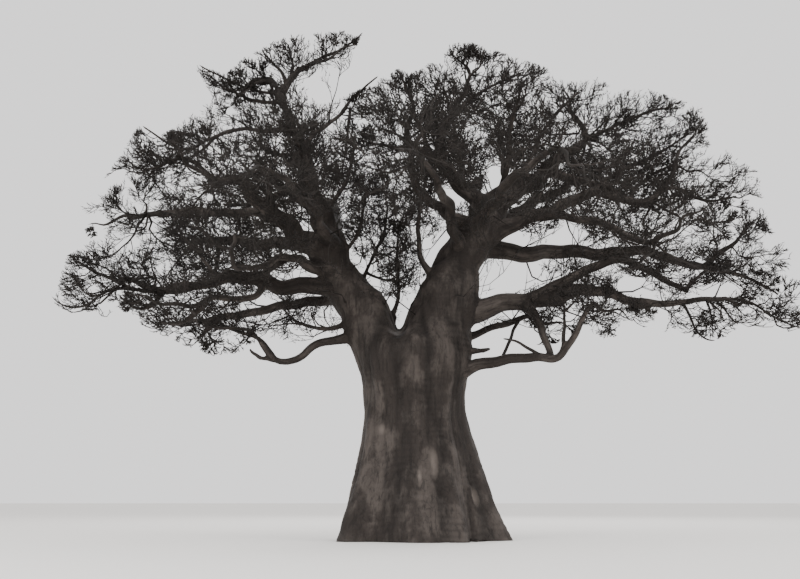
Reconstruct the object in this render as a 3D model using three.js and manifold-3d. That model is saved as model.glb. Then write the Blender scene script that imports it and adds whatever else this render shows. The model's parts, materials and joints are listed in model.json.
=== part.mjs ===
// A bare baobab tree in the dry season, as an assembly of solids.
// The swollen trunk stands on its flat cut at ground level and forks into two
// great stems. Boughs leave the stems, and each bough carries one mass of
// leafless twigs at its tip.
// Millimetres, +Z up. The origin is at the middle of the cut at ground level.
// -X is the left of the tree as it is pictured, and -Y points to the viewer.

import * as THREE from 'three';
import Module from 'manifold-3d';
import { mergeVertices } from 'three/addons/utils/BufferGeometryUtils.js';

// Trunk
const WAIST_HEIGHT = 4400;
const WAIST_RADIUS = 1760;
const FOOT_RADIUS = 2810;
const SHOULDER_HEIGHT = 6600;
const SHOULDER_RADIUS = 2070;
const FORK_HEIGHT = 7280;
const TRUNK_DEPTH = 0.94;
const FLARE_POWER = 1.25;
const SHOULDER_POWER = 1.4;
const DOME_POWER = 0.7;
const TRUNK_LEAN = -110;
const FOOT_SHIFT = 70;
const TRUNK_SIDES = 26;
const TRUNK_HEIGHTS = [0, 260, 800, 1500, 2300, 3200, 4000, 4700, 5400, 6000, SHOULDER_HEIGHT];
const DOME_STEPS = 4;

// Folds that run up the trunk: how many, how deep, and where the first one lies
const FOLDS = [
  { count: 5, depth: 0.030, turn: 0.4 },
  { count: 8, depth: 0.018, turn: 1.9 },
  { count: 13, depth: 0.010, turn: 0.9 },
];
const FOOT_FOLDING = 2.2;

// Limbs. A limb sets out from a foot in the trunk, or from a place on its
// parent's line, and its girth is the diameter at its root and at its tip.
// Its rise and bearing are in degrees, at even steps along its run, and a
// bearing of 0 is +X and of 90 is +Y. Taper is the power of its thinning.
const LIMBS = [
  { name: 'stem_left', foot: [-760, 0, 6050], run: 10900, rise: [60, 56, 71, 74, 71, 66],
    bearing: [178, 182], girth: [2500, 360], taper: 1.8, collar: 0 },
  { name: 'stem_right', foot: [560, 0, 6300], run: 10700, rise: [84, 67, 65, 38, 36, 34],
    bearing: [345, 376, 394], girth: [2800, 340], taper: 1.5, collar: 0 },
  { name: 'bough_left_crest', parent: 'stem_left', at: 0.955, run: 1650, rise: [91, 48, 29],
    bearing: [0, 2], girth: [310, 190], taper: 0.7 },
  { name: 'bough_left_top', parent: 'stem_left', at: 0.849, run: 2450, rise: [-7, 12, -4],
    bearing: [164, 158], girth: [190, 160], taper: 1.4 },
  { name: 'bough_left_inner', parent: 'stem_left', at: 0.769, run: 2300, rise: [60, 41, 45],
    bearing: [41, 6], girth: [210, 150], taper: 1.4 },
  { name: 'bough_left_high', parent: 'stem_left', at: 0.384, run: 5300,
    rise: [48, 12, 34, 48, -40], bearing: [217, 223], girth: [930, 240] },
  { name: 'bough_left_long', parent: 'bough_left_high', at: 0.535, run: 4800, rise: [14, 6, 1],
    bearing: [146, 160], girth: [350, 240], taper: 0.7 },
  { name: 'bough_left_back', parent: 'bough_left_high', at: 0.286, run: 6600, rise: [3, 12, 7],
    bearing: [115, 141], girth: [510, 270], taper: 0.7 },
  { name: 'bough_left_near', parent: 'stem_left', at: 0.33, run: 5900, rise: [12, 2, -19, -12],
    bearing: [234, 246], girth: [670, 190], taper: 2.5 },
  { name: 'bough_left_broad', parent: 'stem_left', at: 0.225, run: 6000,
    rise: [37, 2, 7, -3, -22], bearing: [195, 194], girth: [730, 290], taper: 0.85 },
  { name: 'bough_left_under', parent: 'bough_left_broad', at: 0.588, run: 3050,
    rise: [-91, -32, 3, 2, -37], bearing: [236, 222], girth: [250, 200], taper: 0.85 },
  { name: 'bough_left_low', parent: 'stem_left', at: 0.204, run: 6450, rise: [23, 3, -12, 2, -8],
    bearing: [163, 141], girth: [450, 260] },
  { name: 'bough_left_swoop', parent: 'stem_left', at: 0.103, run: 4650,
    rise: [2, -7, -14, -20, -37, -16, 38, 59], bearing: [196, 204], girth: [370, 150],
    taper: 0.7 },
  { name: 'bough_left_front', parent: 'stem_left', at: 0.41, run: 7000, rise: [18, 12, 0],
    bearing: [262, 252], girth: [620, 180], taper: 1.2 },
  { name: 'bough_left_rear', parent: 'stem_left', at: 0.46, run: 7400, rise: [34, 24, 10],
    bearing: [88, 106], girth: [620, 190], taper: 1.2 },
  { name: 'bough_right_crown', parent: 'stem_right', at: 0.534, run: 3800,
    rise: [48, 42, 49, 23], bearing: [170, 159], girth: [590, 290], taper: 0.7 },
  { name: 'bough_right_peak', parent: 'bough_right_crown', at: 0.75, run: 2550,
    rise: [86, 69, 44], bearing: [334, 333], girth: [330, 220], taper: 1.2 },
  { name: 'bough_right_inner', parent: 'stem_right', at: 0.448, run: 5150,
    rise: [24, 3, 13, 21, 17], bearing: [218, 261], girth: [430, 240], taper: 0.7 },
  { name: 'bough_right_back', parent: 'stem_right', at: 0.47, run: 8000, rise: [20, 26, 26, 17],
    bearing: [50, 47], girth: [520, 200] },
  { name: 'bough_right_long', parent: 'stem_right', at: 0.408, run: 6150,
    rise: [18, 18, 31, 1, -22], bearing: [354, 359], girth: [730, 290], taper: 1.6 },
  { name: 'bough_right_near', parent: 'bough_right_long', at: 0.435, run: 4800,
    rise: [-9, -17, -26, -25], bearing: [315, 298], girth: [290, 230], taper: 0.7 },
  { name: 'bough_right_broad', parent: 'stem_right', at: 0.302, run: 9200,
    rise: [66, -4, -2, 5, 3, -9, -18], bearing: [10, 10], girth: [770, 290], taper: 1.2 },
  { name: 'bough_right_low', parent: 'stem_right', at: 0.128, run: 8700,
    rise: [17, 7, 10, 10, -12, -14, 13], bearing: [353, 349], girth: [830, 210], taper: 1.2 },
  { name: 'bough_right_arch', parent: 'bough_right_low', at: 0.355, run: 6100,
    rise: [24, 30, 29, 10, -23, -32, -30], bearing: [352, 350], girth: [410, 160], taper: 0.7 },
  { name: 'bough_right_under', parent: 'stem_right', at: 0.058, run: 3400, rise: [-8, 22, 21],
    bearing: [8, 14], girth: [290, 220], taper: 0.7 },
  { name: 'bough_right_swoop', foot: [1240, -600, 5440], buried: 500, run: 6150,
    rise: [38, 21, 1, -2, -8, 41, 56, 44], bearing: [343, 306], girth: [470, 170] },
  { name: 'bough_right_front', parent: 'stem_right', at: 0.42, run: 7000, rise: [20, 12, 2],
    bearing: [282, 292], girth: [620, 180], taper: 1.2 },
  { name: 'bough_right_rear', parent: 'stem_right', at: 0.45, run: 7400, rise: [38, 30, 16],
    bearing: [92, 80], girth: [620, 190], taper: 1.2 },
  { name: 'bough_middle_front', parent: 'stem_right', at: 0.34, run: 7600, rise: [24, 14, 4],
    bearing: [262, 254], girth: [520, 170], taper: 1.2 },
  { name: 'bough_centre', parent: 'stem_right', at: 0.22, run: 3700, rise: [40, 42, 74, 104, 90],
    bearing: [198, 222], girth: [280, 130] },
];
const LINE_STEPS = 24;
const COLLAR = 0.30;
const COLLAR_RUN = 1.6;
const GREAT_GIRTH = 2000;
const GREAT_SIDES = 14;
const STOUT_GIRTH = 600;
const STOUT_SIDES = 8;
const SLIM_SIDES = 6;
const RING_RUN = 1300;
const LEAST_RINGS = 4;

// Each mass of twigs keeps inside an ellipsoid round its heart, and nearer to
// its own heart than to any other, both measured in its own reach.
const MASSES = [
  { on: 'bough_left_crest', heart: [-3400, 0, 17050], reach: [2100, 1800, 1200] },
  { on: 'stem_left', heart: [-6200, 300, 16100], reach: [1800, 1700, 1200] },
  { on: 'bough_left_top', heart: [-8000, 1500, 13950], reach: [2500, 2600, 1600] },
  { on: 'bough_left_inner', heart: [-2500, 900, 14300], reach: [2100, 2300, 2000] },
  { on: 'bough_left_high', heart: [-7000, -3800, 11900], reach: [2600, 2600, 1900] },
  { on: 'bough_left_long', heart: [-10300, 1200, 11500], reach: [2450, 2600, 1950] },
  { on: 'bough_left_back', heart: [-8900, 5300, 11400], reach: [3000, 2800, 2100] },
  { on: 'bough_left_near', heart: [-5600, -6400, 9300], reach: [2600, 2500, 1500] },
  { on: 'bough_left_broad', heart: [-10000, -1700, 8700], reach: [2750, 2600, 1500] },
  { on: 'bough_left_under', heart: [-7900, -3900, 7600], reach: [1800, 1900, 1200] },
  { on: 'bough_left_low', heart: [-8500, 4000, 8050], reach: [2000, 2300, 1200] },
  { on: 'bough_left_swoop', heart: [-6500, -2300, 7000], reach: [1300, 1400, 1100] },
  { on: 'bough_left_front', heart: [-4800, -8100, 11000], reach: [3200, 2700, 1900] },
  { on: 'bough_left_rear', heart: [-4300, 8100, 13700], reach: [3500, 2800, 2200] },
  { on: 'stem_right', heart: [6300, 2300, 15200], reach: [3200, 3000, 2000] },
  { on: 'bough_right_crown', heart: [-200, 1400, 15400], reach: [2200, 2700, 2000] },
  { on: 'bough_right_peak', heart: [1900, 200, 16100], reach: [2600, 2500, 1700] },
  { on: 'bough_right_inner', heart: [100, -4300, 13000], reach: [2700, 2600, 2000] },
  { on: 'bough_right_back', heart: [8200, 7000, 13700], reach: [3100, 2900, 2300] },
  { on: 'bough_right_long', heart: [8900, -400, 12600], reach: [2600, 2900, 2500] },
  { on: 'bough_right_near', heart: [7800, -5500, 9600], reach: [2700, 2600, 1600] },
  { on: 'bough_right_broad', heart: [11200, 1400, 10300], reach: [2700, 2700, 2100] },
  { on: 'bough_right_low', heart: [10900, -1700, 7900], reach: [2600, 2500, 1400] },
  { on: 'bough_right_under', heart: [4500, 900, 7700], reach: [1500, 1700, 900] },
  { on: 'bough_right_swoop', heart: [5900, -4100, 7450], reach: [1800, 1900, 1200] },
  { on: 'bough_right_front', heart: [4400, -8100, 11300], reach: [3300, 2700, 1900] },
  { on: 'bough_right_rear', heart: [2800, 8100, 14300], reach: [3400, 2800, 2200] },
  { on: 'bough_middle_front', heart: [-300, -8500, 11400], reach: [2700, 2600, 1900] },
  { on: 'bough_centre', heart: [-400, 100, 12200], reach: [1600, 1900, 1700] },
];
const MASS_MARGIN = 0.06;

// Openings in the crown through which the sky shows from the viewing point.
// Each is an ellipse in the upright plane through the trunk: x, z, half width
// and half height.
const VIEWPOINT = [-546, -45000, 1580];
const OPEN_SKY = [
  [630, 10100, 580, 720],
  [1240, 12100, 700, 700],
  [2980, 12800, 650, 800],
  [5250, 10600, 1150, 420],
  [3430, 9100, 1150, 700],
  [7650, 8800, 900, 420],
  [10700, 8700, 850, 320],
  [3350, 7050, 1300, 560],
  [-5200, 8250, 800, 330],
  [-4050, 8900, 600, 330],
];

// The rule by which twigs branch. A mass has one stem, its first twigs leave
// the stem for points spread over the shell of its space, and side twigs leave
// those.
const STEM_SIDES = 5;
const STEM_FIT = 0.96;
const STEM_KNEE = 0.30;
const STEM_THINNING = [1, 0.92, 0.78, 0.25];
const FIRST_TWIGS = 7;
const FIRST_ANGLE = 52;
const FIRST_STARTS = [0.06, 0.90];
const FIRST_RADIUS = 0.68;
const FIRST_TIP = 0.62;
const SIDE_TWIGS = 3;
const SIDE_STARTS = [0.28, 0.92];
const SIDE_ANGLE = [38, 62];
const SIDE_LENGTH = [0.72, 0.42];
const LENGTH_SPREAD = [0.8, 1.2];
const SIDE_RADIUS = 0.45;
const OUTWARD_PULL = 0.30;
const UPWARD_PULL = 0.15;
const SHELL = 0.96;
const GOLDEN_TURN = Math.PI * (3 - Math.sqrt(5));
const GOLDEN_SHARE = (Math.sqrt(5) - 1) / 2;
const TRIES = 5;
const SHORTER = 0.82;
const CLEARANCE = 30;
const PROBES = 10;
const SEED = 7;

// Odd multipliers that mix the bits of a key
const MIXERS = [0x9e3779b1, 0x85ebca6b, 0xc2b2ae35];
const CHILD_MIXERS = [1664525, 1013904223];

// Gaps in millimetres: a limb's cut end from its parent, and between two limbs
const CUT_GAP = 0.3;
const LIMB_GAP = 0.4;
const MERGE_DISTANCE = 0.01;

// A heading this near to upright takes +X as its side
const UPRIGHT = 0.1;

const BARK = { color: 0x6f625a, roughness: 0.92, metalness: 0 };
const TWIG_BARK = { color: 0x52473f, roughness: 0.95, metalness: 0 };

const wasm = await Module();
wasm.setup();

const vector = (xyz) => new THREE.Vector3(...xyz);

// The value at a share of the way along a row of evenly spaced values
function along(values, share) {
  const place = share * (values.length - 1);
  const step = Math.min(Math.floor(place), values.length - 2);
  return THREE.MathUtils.lerp(values[step], values[step + 1], place - step);
}

// A closed geometry as a solid, with its doubled vertices merged
function solidOf(geometry) {
  geometry.deleteAttribute('normal');
  geometry.deleteAttribute('uv');
  const merged = mergeVertices(geometry, MERGE_DISTANCE);
  const corners = merged.index.array;
  const faces = [];
  for (let i = 0; i < corners.length; i += 3) {
    const [a, b, c] = corners.subarray(i, i + 3);
    if (a !== b && b !== c && c !== a) faces.push(a, b, c);
  }
  const vertProperties = new Float32Array(merged.attributes.position.array);
  const triVerts = new Uint32Array(faces);
  return new wasm.Manifold(new wasm.Mesh({ numProp: 3, vertProperties, triVerts }));
}

// The largest body of a solid, which drops any scrap that a cut leaves
function largestBody(solid) {
  const bodies = solid.decompose();
  return bodies.reduce((best, body) => (body.volume() > best.volume() ? body : best));
}

// A tube of rings square to its path, closed at both ends. A last radius of
// zero brings it to a point. The rings are not twisted against each other.
function tube(path, headings, radii, sides) {
  const geometry = new THREE.CylinderGeometry(1, 1, 1, sides, path.length - 1);
  const across = [];
  let side = new THREE.Vector3(0, 0, 1).cross(headings[0]);
  if (side.length() < UPRIGHT) side.set(1, 0, 0);
  for (const heading of headings) {
    side = side.clone().addScaledVector(heading, -side.dot(heading)).normalize();
    across.push({ side, up: side.clone().cross(heading) });
  }
  const places = geometry.attributes.position;
  for (let i = 0; i < places.count; i += 1) {
    const ring = Math.round((places.getY(i) + 0.5) * (path.length - 1));
    const point = path[ring].clone();
    point.addScaledVector(across[ring].side, places.getX(i) * radii[ring]);
    point.addScaledVector(across[ring].up, places.getZ(i) * radii[ring]);
    places.setXYZ(i, point.x, point.y, point.z);
  }
  return solidOf(geometry);
}

// Trunk: a waisted lathe turning, folded up its length and flared at the foot
function trunkRadius(height) {
  if (height < WAIST_HEIGHT) {
    const drop = (WAIST_HEIGHT - height) / WAIST_HEIGHT;
    return WAIST_RADIUS + (FOOT_RADIUS - WAIST_RADIUS) * drop ** FLARE_POWER;
  }
  const climb = (height - WAIST_HEIGHT) / (SHOULDER_HEIGHT - WAIST_HEIGHT);
  return WAIST_RADIUS + (SHOULDER_RADIUS - WAIST_RADIUS) * climb ** SHOULDER_POWER;
}

function trunkFold(angle, height) {
  const foot = Math.max(0, 1 - height / WAIST_HEIGHT) ** 2;
  const strength = 1 + FOOT_FOLDING * foot;
  const wave = FOLDS.reduce((sum, { count, depth, turn }) =>
    sum + depth * Math.cos(count * angle + turn), 0);
  return 1 + strength * wave;
}

function trunkProfile(grow) {
  const profile = TRUNK_HEIGHTS.map((height) =>
    new THREE.Vector2(trunkRadius(height) + grow, height));
  for (let step = 1; step <= DOME_STEPS; step += 1) {
    const turn = (step / DOME_STEPS) * Math.PI / 2;
    const rise = (FORK_HEIGHT + grow - SHOULDER_HEIGHT) * Math.sin(turn);
    const radius = step === DOME_STEPS ? 0 : (SHOULDER_RADIUS + grow) * Math.cos(turn) ** DOME_POWER;
    profile.push(new THREE.Vector2(radius, SHOULDER_HEIGHT + rise));
  }
  return [new THREE.Vector2(0, 0), ...profile];
}

function trunkSolid(grow = 0) {
  const geometry = new THREE.LatheGeometry(trunkProfile(grow), TRUNK_SIDES);
  geometry.rotateX(Math.PI / 2);
  const places = geometry.attributes.position;
  for (let i = 0; i < places.count; i += 1) {
    const [x, y, z] = [places.getX(i), places.getY(i), places.getZ(i)];
    const fold = trunkFold(Math.atan2(y, x), z);
    const shift = FOOT_SHIFT + TRUNK_LEAN * Math.min(1, z / WAIST_HEIGHT);
    places.setXYZ(i, x * fold + shift, y * fold * TRUNK_DEPTH, z);
  }
  return solidOf(geometry);
}

// A limb's direction at a share of its run
function headingAt(limb, share) {
  const rise = THREE.MathUtils.degToRad(along(limb.rise, share));
  const bearing = THREE.MathUtils.degToRad(along(limb.bearing, share));
  return new THREE.Vector3(
    Math.cos(rise) * Math.cos(bearing), Math.cos(rise) * Math.sin(bearing), Math.sin(rise));
}

// A limb's centre line, walked in even steps from its foot
function lineOf(limb, foot) {
  const line = [foot];
  for (let step = 0; step < LINE_STEPS; step += 1) {
    const heading = headingAt(limb, (step + 0.5) / LINE_STEPS);
    line.push(line[step].clone().addScaledVector(heading, limb.run / LINE_STEPS));
  }
  return line;
}

function pointOn(line, share) {
  const place = share * (line.length - 1);
  const step = Math.min(Math.floor(place), line.length - 2);
  return line[step].clone().lerp(line[step + 1], place - step);
}

// A limb's radius, with the swollen collar where it comes out of its parent
function limbRadius(limb, share) {
  const [root, tip] = limb.girth;
  const girth = tip + (root - tip) * (1 - share) ** (limb.taper ?? 1);
  const clear = Math.max(0, share * limb.run - limb.buried) / (COLLAR_RUN * root);
  return girth / 2 * (1 + (limb.collar ?? COLLAR) * Math.max(0, 1 - clear) ** 2);
}

function placeLimbs() {
  const placed = new Map();
  for (const limb of LIMBS) {
    const parent = placed.get(limb.parent);
    const foot = parent ? pointOn(parent.line, limb.at) : vector(limb.foot);
    limb.buried ??= parent ? limbRadius(parent, limb.at) : 0;
    limb.line = lineOf(limb, foot);
    placed.set(limb.name, limb);
  }
  return placed;
}

function limbSolid(limb, grow = 0) {
  const [root] = limb.girth;
  const slimmer = root > STOUT_GIRTH ? STOUT_SIDES : SLIM_SIDES;
  const sides = root > GREAT_GIRTH ? GREAT_SIDES : slimmer;
  const rings = Math.max(LEAST_RINGS, Math.round(limb.run / RING_RUN));
  const path = [];
  const headings = [];
  const radii = [];
  for (let ring = 0; ring <= rings; ring += 1) {
    const share = ring / rings;
    path.push(pointOn(limb.line, share));
    headings.push(headingAt(limb, share));
    radii.push(limbRadius(limb, share) + grow);
  }
  path[0].addScaledVector(headings[0], -grow);
  path[rings].addScaledVector(headings[rings], grow);
  return tube(path, headings, radii, sides);
}

// The same number from 0 to 1 for the same key and slot
function draw(key, slot) {
  const [spread, first, second] = MIXERS;
  let bits = (key ^ Math.imul(slot + 1, spread)) >>> 0;
  bits = Math.imul(bits ^ (bits >>> 16), first) >>> 0;
  bits = Math.imul(bits ^ (bits >>> 13), second) >>> 0;
  return ((bits ^ (bits >>> 16)) >>> 0) / 2 ** 32;
}

function childKey(key, order) {
  const [carry, stride] = CHILD_MIXERS;
  return (Math.imul(key, carry) + Math.imul(order + 1, stride)) >>> 0;
}

// How far a point is from a heart, in reaches
function reachTo(mass, point) {
  const [dx, dy, dz] = [point.x, point.y, point.z].map((v, i) => (v - mass.heart[i]) / mass.reach[i]);
  return Math.hypot(dx, dy, dz);
}

function inOwnSpace(mass, point) {
  const own = reachTo(mass, point);
  if (own > 1) return false;
  return MASSES.every((other) => other === mass || reachTo(other, point) > own + MASS_MARGIN);
}

function inOpenSky(point) {
  const [eyeX, eyeY, eyeZ] = VIEWPOINT;
  const scale = -eyeY / (point.y - eyeY);
  const x = eyeX + (point.x - eyeX) * scale;
  const z = eyeZ + (point.z - eyeZ) * scale;
  return OPEN_SKY.some(([midX, midZ, halfWidth, halfHeight]) =>
    Math.hypot((x - midX) / halfWidth, (z - midZ) / halfHeight) < 1);
}

function touchesLimb(point, radius) {
  const nearest = new THREE.Vector3();
  const stretch = new THREE.Line3();
  return LIMBS.some((limb) => {
    for (let step = 0; step < LINE_STEPS; step += 2) {
      stretch.set(limb.line[step], limb.line[step + 2]);
      const place = stretch.closestPointToPointParameter(point, true);
      stretch.at(place, nearest);
      const share = (step + 2 * place) / LINE_STEPS;
      if (nearest.distanceTo(point) < limbRadius(limb, share) + radius + CLEARANCE) return true;
    }
    return false;
  });
}

// A twig may grow where all of it keeps to its space and clear of the limbs
function mayGrow(mass, from, to, radius) {
  for (let probe = 1; probe <= PROBES; probe += 1) {
    const point = from.clone().lerp(to, probe / PROBES);
    if (!inOwnSpace(mass, point) || touchesLimb(point, radius)) return false;
  }
  return !inOpenSky(to) && !inOpenSky(from.clone().lerp(to, 0.5));
}

// The end of a twig that sets out along a heading: it is shortened a few
// times until it may grow, and after that it is skipped
function twigEnd(mass, from, heading, length, radius) {
  for (let tries = 0; tries < TRIES; tries += 1) {
    const to = from.clone().addScaledVector(heading, length * SHORTER ** tries);
    if (mayGrow(mass, from, to, radius)) return to;
  }
  return null;
}

// The stem of a mass: from 0.3 mm clear of its bough's tip through the heart,
// and on towards the shell on the far side
function stemOf(mass, limb) {
  const heading = headingAt(limb, 1);
  const foot = limb.line[LINE_STEPS].clone().addScaledVector(heading, CUT_GAP);
  const heart = vector(mass.heart);
  const knee = foot.clone().addScaledVector(heading, foot.distanceTo(heart) * STEM_KNEE);
  const lead = heart.clone().sub(knee).normalize();
  const radius = limbRadius(limb, 1) * STEM_FIT;
  const beyond = SHELL / lead.clone().divide(vector(mass.reach)).length();
  const tip = twigEnd(mass, heart, lead, beyond, radius) ?? heart.clone().addScaledVector(lead, radius);
  return { foot, knee, heart, tip, heading, lead, radius };
}

function stemSolid({ foot, knee, heart, tip, heading, lead, radius }) {
  const radii = STEM_THINNING.map((share) => share * radius);
  return tube([foot, knee, heart, tip], [heading, lead, lead, lead], radii, STEM_SIDES);
}

// The stem's radius at a distance from its knee
function stemRadius({ knee, heart, tip, radius }, distance) {
  const [, atKnee, atHeart, atTip] = STEM_THINNING;
  const toHeart = knee.distanceTo(heart);
  const share = distance < toHeart
    ? THREE.MathUtils.lerp(atKnee, atHeart, distance / toHeart)
    : THREE.MathUtils.lerp(atHeart, atTip, (distance - toHeart) / heart.distanceTo(tip));
  return share * radius;
}

// A twig's solid: a three-sided spike
function spike({ from, to, radius, tipRadius }) {
  const heading = to.clone().sub(from).normalize();
  return tube([from, to], [heading, heading], [radius, tipRadius], 3);
}

// The first twigs leave the stem at one slant, each for its own point of the shell
function firstTwigs(mass, stem, key) {
  const twigs = [];
  const spin = draw(key, 0) * 2 * Math.PI;
  const run = stem.knee.distanceTo(stem.tip);
  const slant = Math.tan(THREE.MathUtils.degToRad(FIRST_ANGLE));
  for (let order = 0; order < FIRST_TWIGS; order += 1) {
    const level = 1 - (2 * order + 1) / FIRST_TWIGS;
    const turn = spin + order * GOLDEN_TURN;
    const round = Math.sqrt(1 - level * level);
    const aim = new THREE.Vector3(round * Math.cos(turn), round * Math.sin(turn), level);
    const target = aim.multiply(vector(mass.reach)).multiplyScalar(SHELL).add(stem.heart);
    const ahead = target.clone().sub(stem.knee);
    const along = ahead.dot(stem.lead);
    const aside = ahead.addScaledVector(stem.lead, -along).length();
    const start = THREE.MathUtils.clamp(
      along - aside / slant, FIRST_STARTS[0] * run, FIRST_STARTS[1] * run);
    const from = stem.knee.clone().addScaledVector(stem.lead, start);
    const length = target.distanceTo(from);
    const heading = target.sub(from).normalize();
    const radius = stemRadius(stem, start) * FIRST_RADIUS;
    const tipRadius = radius * FIRST_TIP;
    const to = twigEnd(mass, from, heading, length, radius);
    if (to) twigs.push({ from, to, heading, radius, tipRadius, key: childKey(key, order) });
  }
  return twigs;
}

// Side twigs leave a twig at a wide angle, turned round it by the golden
// angle, and bend outwards from the heart and a little upwards
function sideTwigs(mass, twig) {
  const twigs = [];
  const heart = vector(mass.heart);
  const twigLength = twig.from.distanceTo(twig.to);
  const side = new THREE.Vector3(-twig.heading.y, twig.heading.x, 0.01).normalize();
  side.addScaledVector(twig.heading, -side.dot(twig.heading)).normalize();
  const up = twig.heading.clone().cross(side);
  for (let order = 0; order < SIDE_TWIGS; order += 1) {
    const place = (draw(twig.key, 0) + order * GOLDEN_SHARE) % 1;
    const share = THREE.MathUtils.lerp(...SIDE_STARTS, place);
    const turn = 2 * Math.PI * draw(twig.key, 1) + order * GOLDEN_TURN;
    const angle = THREE.MathUtils.degToRad(
      THREE.MathUtils.lerp(...SIDE_ANGLE, draw(twig.key, 3 * order + 2)));
    const from = twig.from.clone().lerp(twig.to, share);
    const heading = twig.heading.clone().multiplyScalar(Math.cos(angle));
    heading.addScaledVector(side, Math.sin(angle) * Math.cos(turn));
    heading.addScaledVector(up, Math.sin(angle) * Math.sin(turn));
    heading.addScaledVector(from.clone().sub(heart).divide(vector(mass.reach)), OUTWARD_PULL);
    heading.z += UPWARD_PULL;
    heading.normalize();
    const length = twigLength * THREE.MathUtils.lerp(...SIDE_LENGTH, share)
      * THREE.MathUtils.lerp(...LENGTH_SPREAD, draw(twig.key, 3 * order + 3));
    const radius = THREE.MathUtils.lerp(twig.radius, twig.tipRadius, share) * SIDE_RADIUS;
    const to = twigEnd(mass, from, heading, length, radius);
    if (to) twigs.push({ from, to, radius, tipRadius: 0 });
  }
  return twigs;
}

function massSolid(mass, limb, key) {
  const stem = stemOf(mass, limb);
  const pieces = [stemSolid(stem)];
  for (const twig of firstTwigs(mass, stem, key)) {
    pieces.push(spike(twig), ...sideTwigs(mass, twig).map(spike));
  }
  return wasm.Manifold.union(pieces);
}

// A solid as a named mesh, placed by its root
function meshOf(name, solid, root, bark) {
  const { vertProperties, triVerts } = solid.getMesh();
  const geometry = new THREE.BufferGeometry();
  geometry.setAttribute('position', new THREE.BufferAttribute(vertProperties, 3));
  geometry.setIndex(new THREE.BufferAttribute(triVerts, 1));
  geometry.translate(-root.x, -root.y, -root.z);
  geometry.computeVertexNormals();
  const mesh = new THREE.Mesh(geometry, new THREE.MeshStandardMaterial(bark));
  mesh.name = name;
  mesh.position.copy(root);
  return mesh;
}

// The tree: each limb is cut back 0.3 mm clear of the trunk and of the limbs
// before it, so that it sits on what carries it
function buildTree() {
  const tree = new THREE.Group();
  const limbs = placeLimbs();
  tree.add(meshOf('trunk', trunkSolid(), new THREE.Vector3(), BARK));
  const cutters = [trunkSolid(CUT_GAP)];
  for (const limb of LIMBS) {
    const solid = largestBody(wasm.Manifold.difference([limbSolid(limb), ...cutters]));
    tree.add(meshOf(limb.name, solid, limb.line[0], BARK));
    cutters.push(limbSolid(limb, LIMB_GAP));
  }
  MASSES.forEach((mass, order) => {
    const limb = limbs.get(mass.on);
    const name = mass.on.replace('bough', 'twigs').replace('stem', 'twigs_stem');
    const root = limb.line[LINE_STEPS];
    tree.add(meshOf(name, massSolid(mass, limb, childKey(SEED, order)), root, TWIG_BARK));
  });
  return tree;
}

export default buildTree();
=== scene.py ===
import json
import math

import bmesh
import bpy
import numpy as np
from mathutils import Matrix, Vector, noise

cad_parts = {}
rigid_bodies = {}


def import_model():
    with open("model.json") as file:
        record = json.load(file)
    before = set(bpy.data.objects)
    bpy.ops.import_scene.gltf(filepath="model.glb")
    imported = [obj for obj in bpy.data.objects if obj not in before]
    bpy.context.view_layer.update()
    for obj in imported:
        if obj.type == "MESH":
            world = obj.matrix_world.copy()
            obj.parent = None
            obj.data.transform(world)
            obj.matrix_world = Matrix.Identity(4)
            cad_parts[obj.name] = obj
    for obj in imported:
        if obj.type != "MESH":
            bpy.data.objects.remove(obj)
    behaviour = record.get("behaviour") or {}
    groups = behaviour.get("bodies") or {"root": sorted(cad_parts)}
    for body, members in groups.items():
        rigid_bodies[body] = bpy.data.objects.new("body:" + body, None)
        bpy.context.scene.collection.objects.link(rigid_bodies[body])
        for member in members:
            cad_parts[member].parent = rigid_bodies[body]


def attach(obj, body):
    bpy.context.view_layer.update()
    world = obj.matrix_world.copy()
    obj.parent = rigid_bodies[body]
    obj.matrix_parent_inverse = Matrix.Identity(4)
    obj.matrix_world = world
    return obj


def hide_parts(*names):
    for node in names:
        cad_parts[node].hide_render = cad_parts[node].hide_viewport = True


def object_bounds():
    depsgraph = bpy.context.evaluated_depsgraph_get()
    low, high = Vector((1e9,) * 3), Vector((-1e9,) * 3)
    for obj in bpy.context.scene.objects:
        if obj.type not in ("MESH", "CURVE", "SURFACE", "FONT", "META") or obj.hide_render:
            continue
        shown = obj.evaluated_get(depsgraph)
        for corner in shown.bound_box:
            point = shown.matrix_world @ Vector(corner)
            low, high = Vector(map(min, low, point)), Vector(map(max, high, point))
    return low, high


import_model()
cad_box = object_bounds()

# Viewpoint
# A standing viewer looks up at the crown from 45 m in front of the trunk and a
# little to its left, with a plain lens.
EYE = (-0.546, -45.0, 1.58)
LOOK_UP = 8.93
SENSOR_WIDTH = 36.0
FOCAL_LENGTH = 58.3
FAR_CLIP = 400.0

lens = bpy.data.cameras.new("viewpoint")
lens.sensor_width = SENSOR_WIDTH
lens.lens = FOCAL_LENGTH
lens.clip_end = FAR_CLIP
viewpoint = bpy.data.objects.new("viewpoint", lens)
viewpoint.location = EYE
viewpoint.rotation_euler = (math.radians(90 + LOOK_UP), 0, 0)
bpy.context.collection.objects.link(viewpoint)
bpy.context.scene.camera = viewpoint


# Trunk and great stems
# The swollen trunk of soft, fibrous wood stands on its flat cut at ground level
# and forks into two great stems. All three are one body of wood under one thin,
# folded, grey-brown bark, which swells into a collar round each bough.

# The collar round a limb's root: its swelling beside the girth, and its run in girths
COLLAR = 0.30
COLLAR_RUN = 1.6

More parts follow.
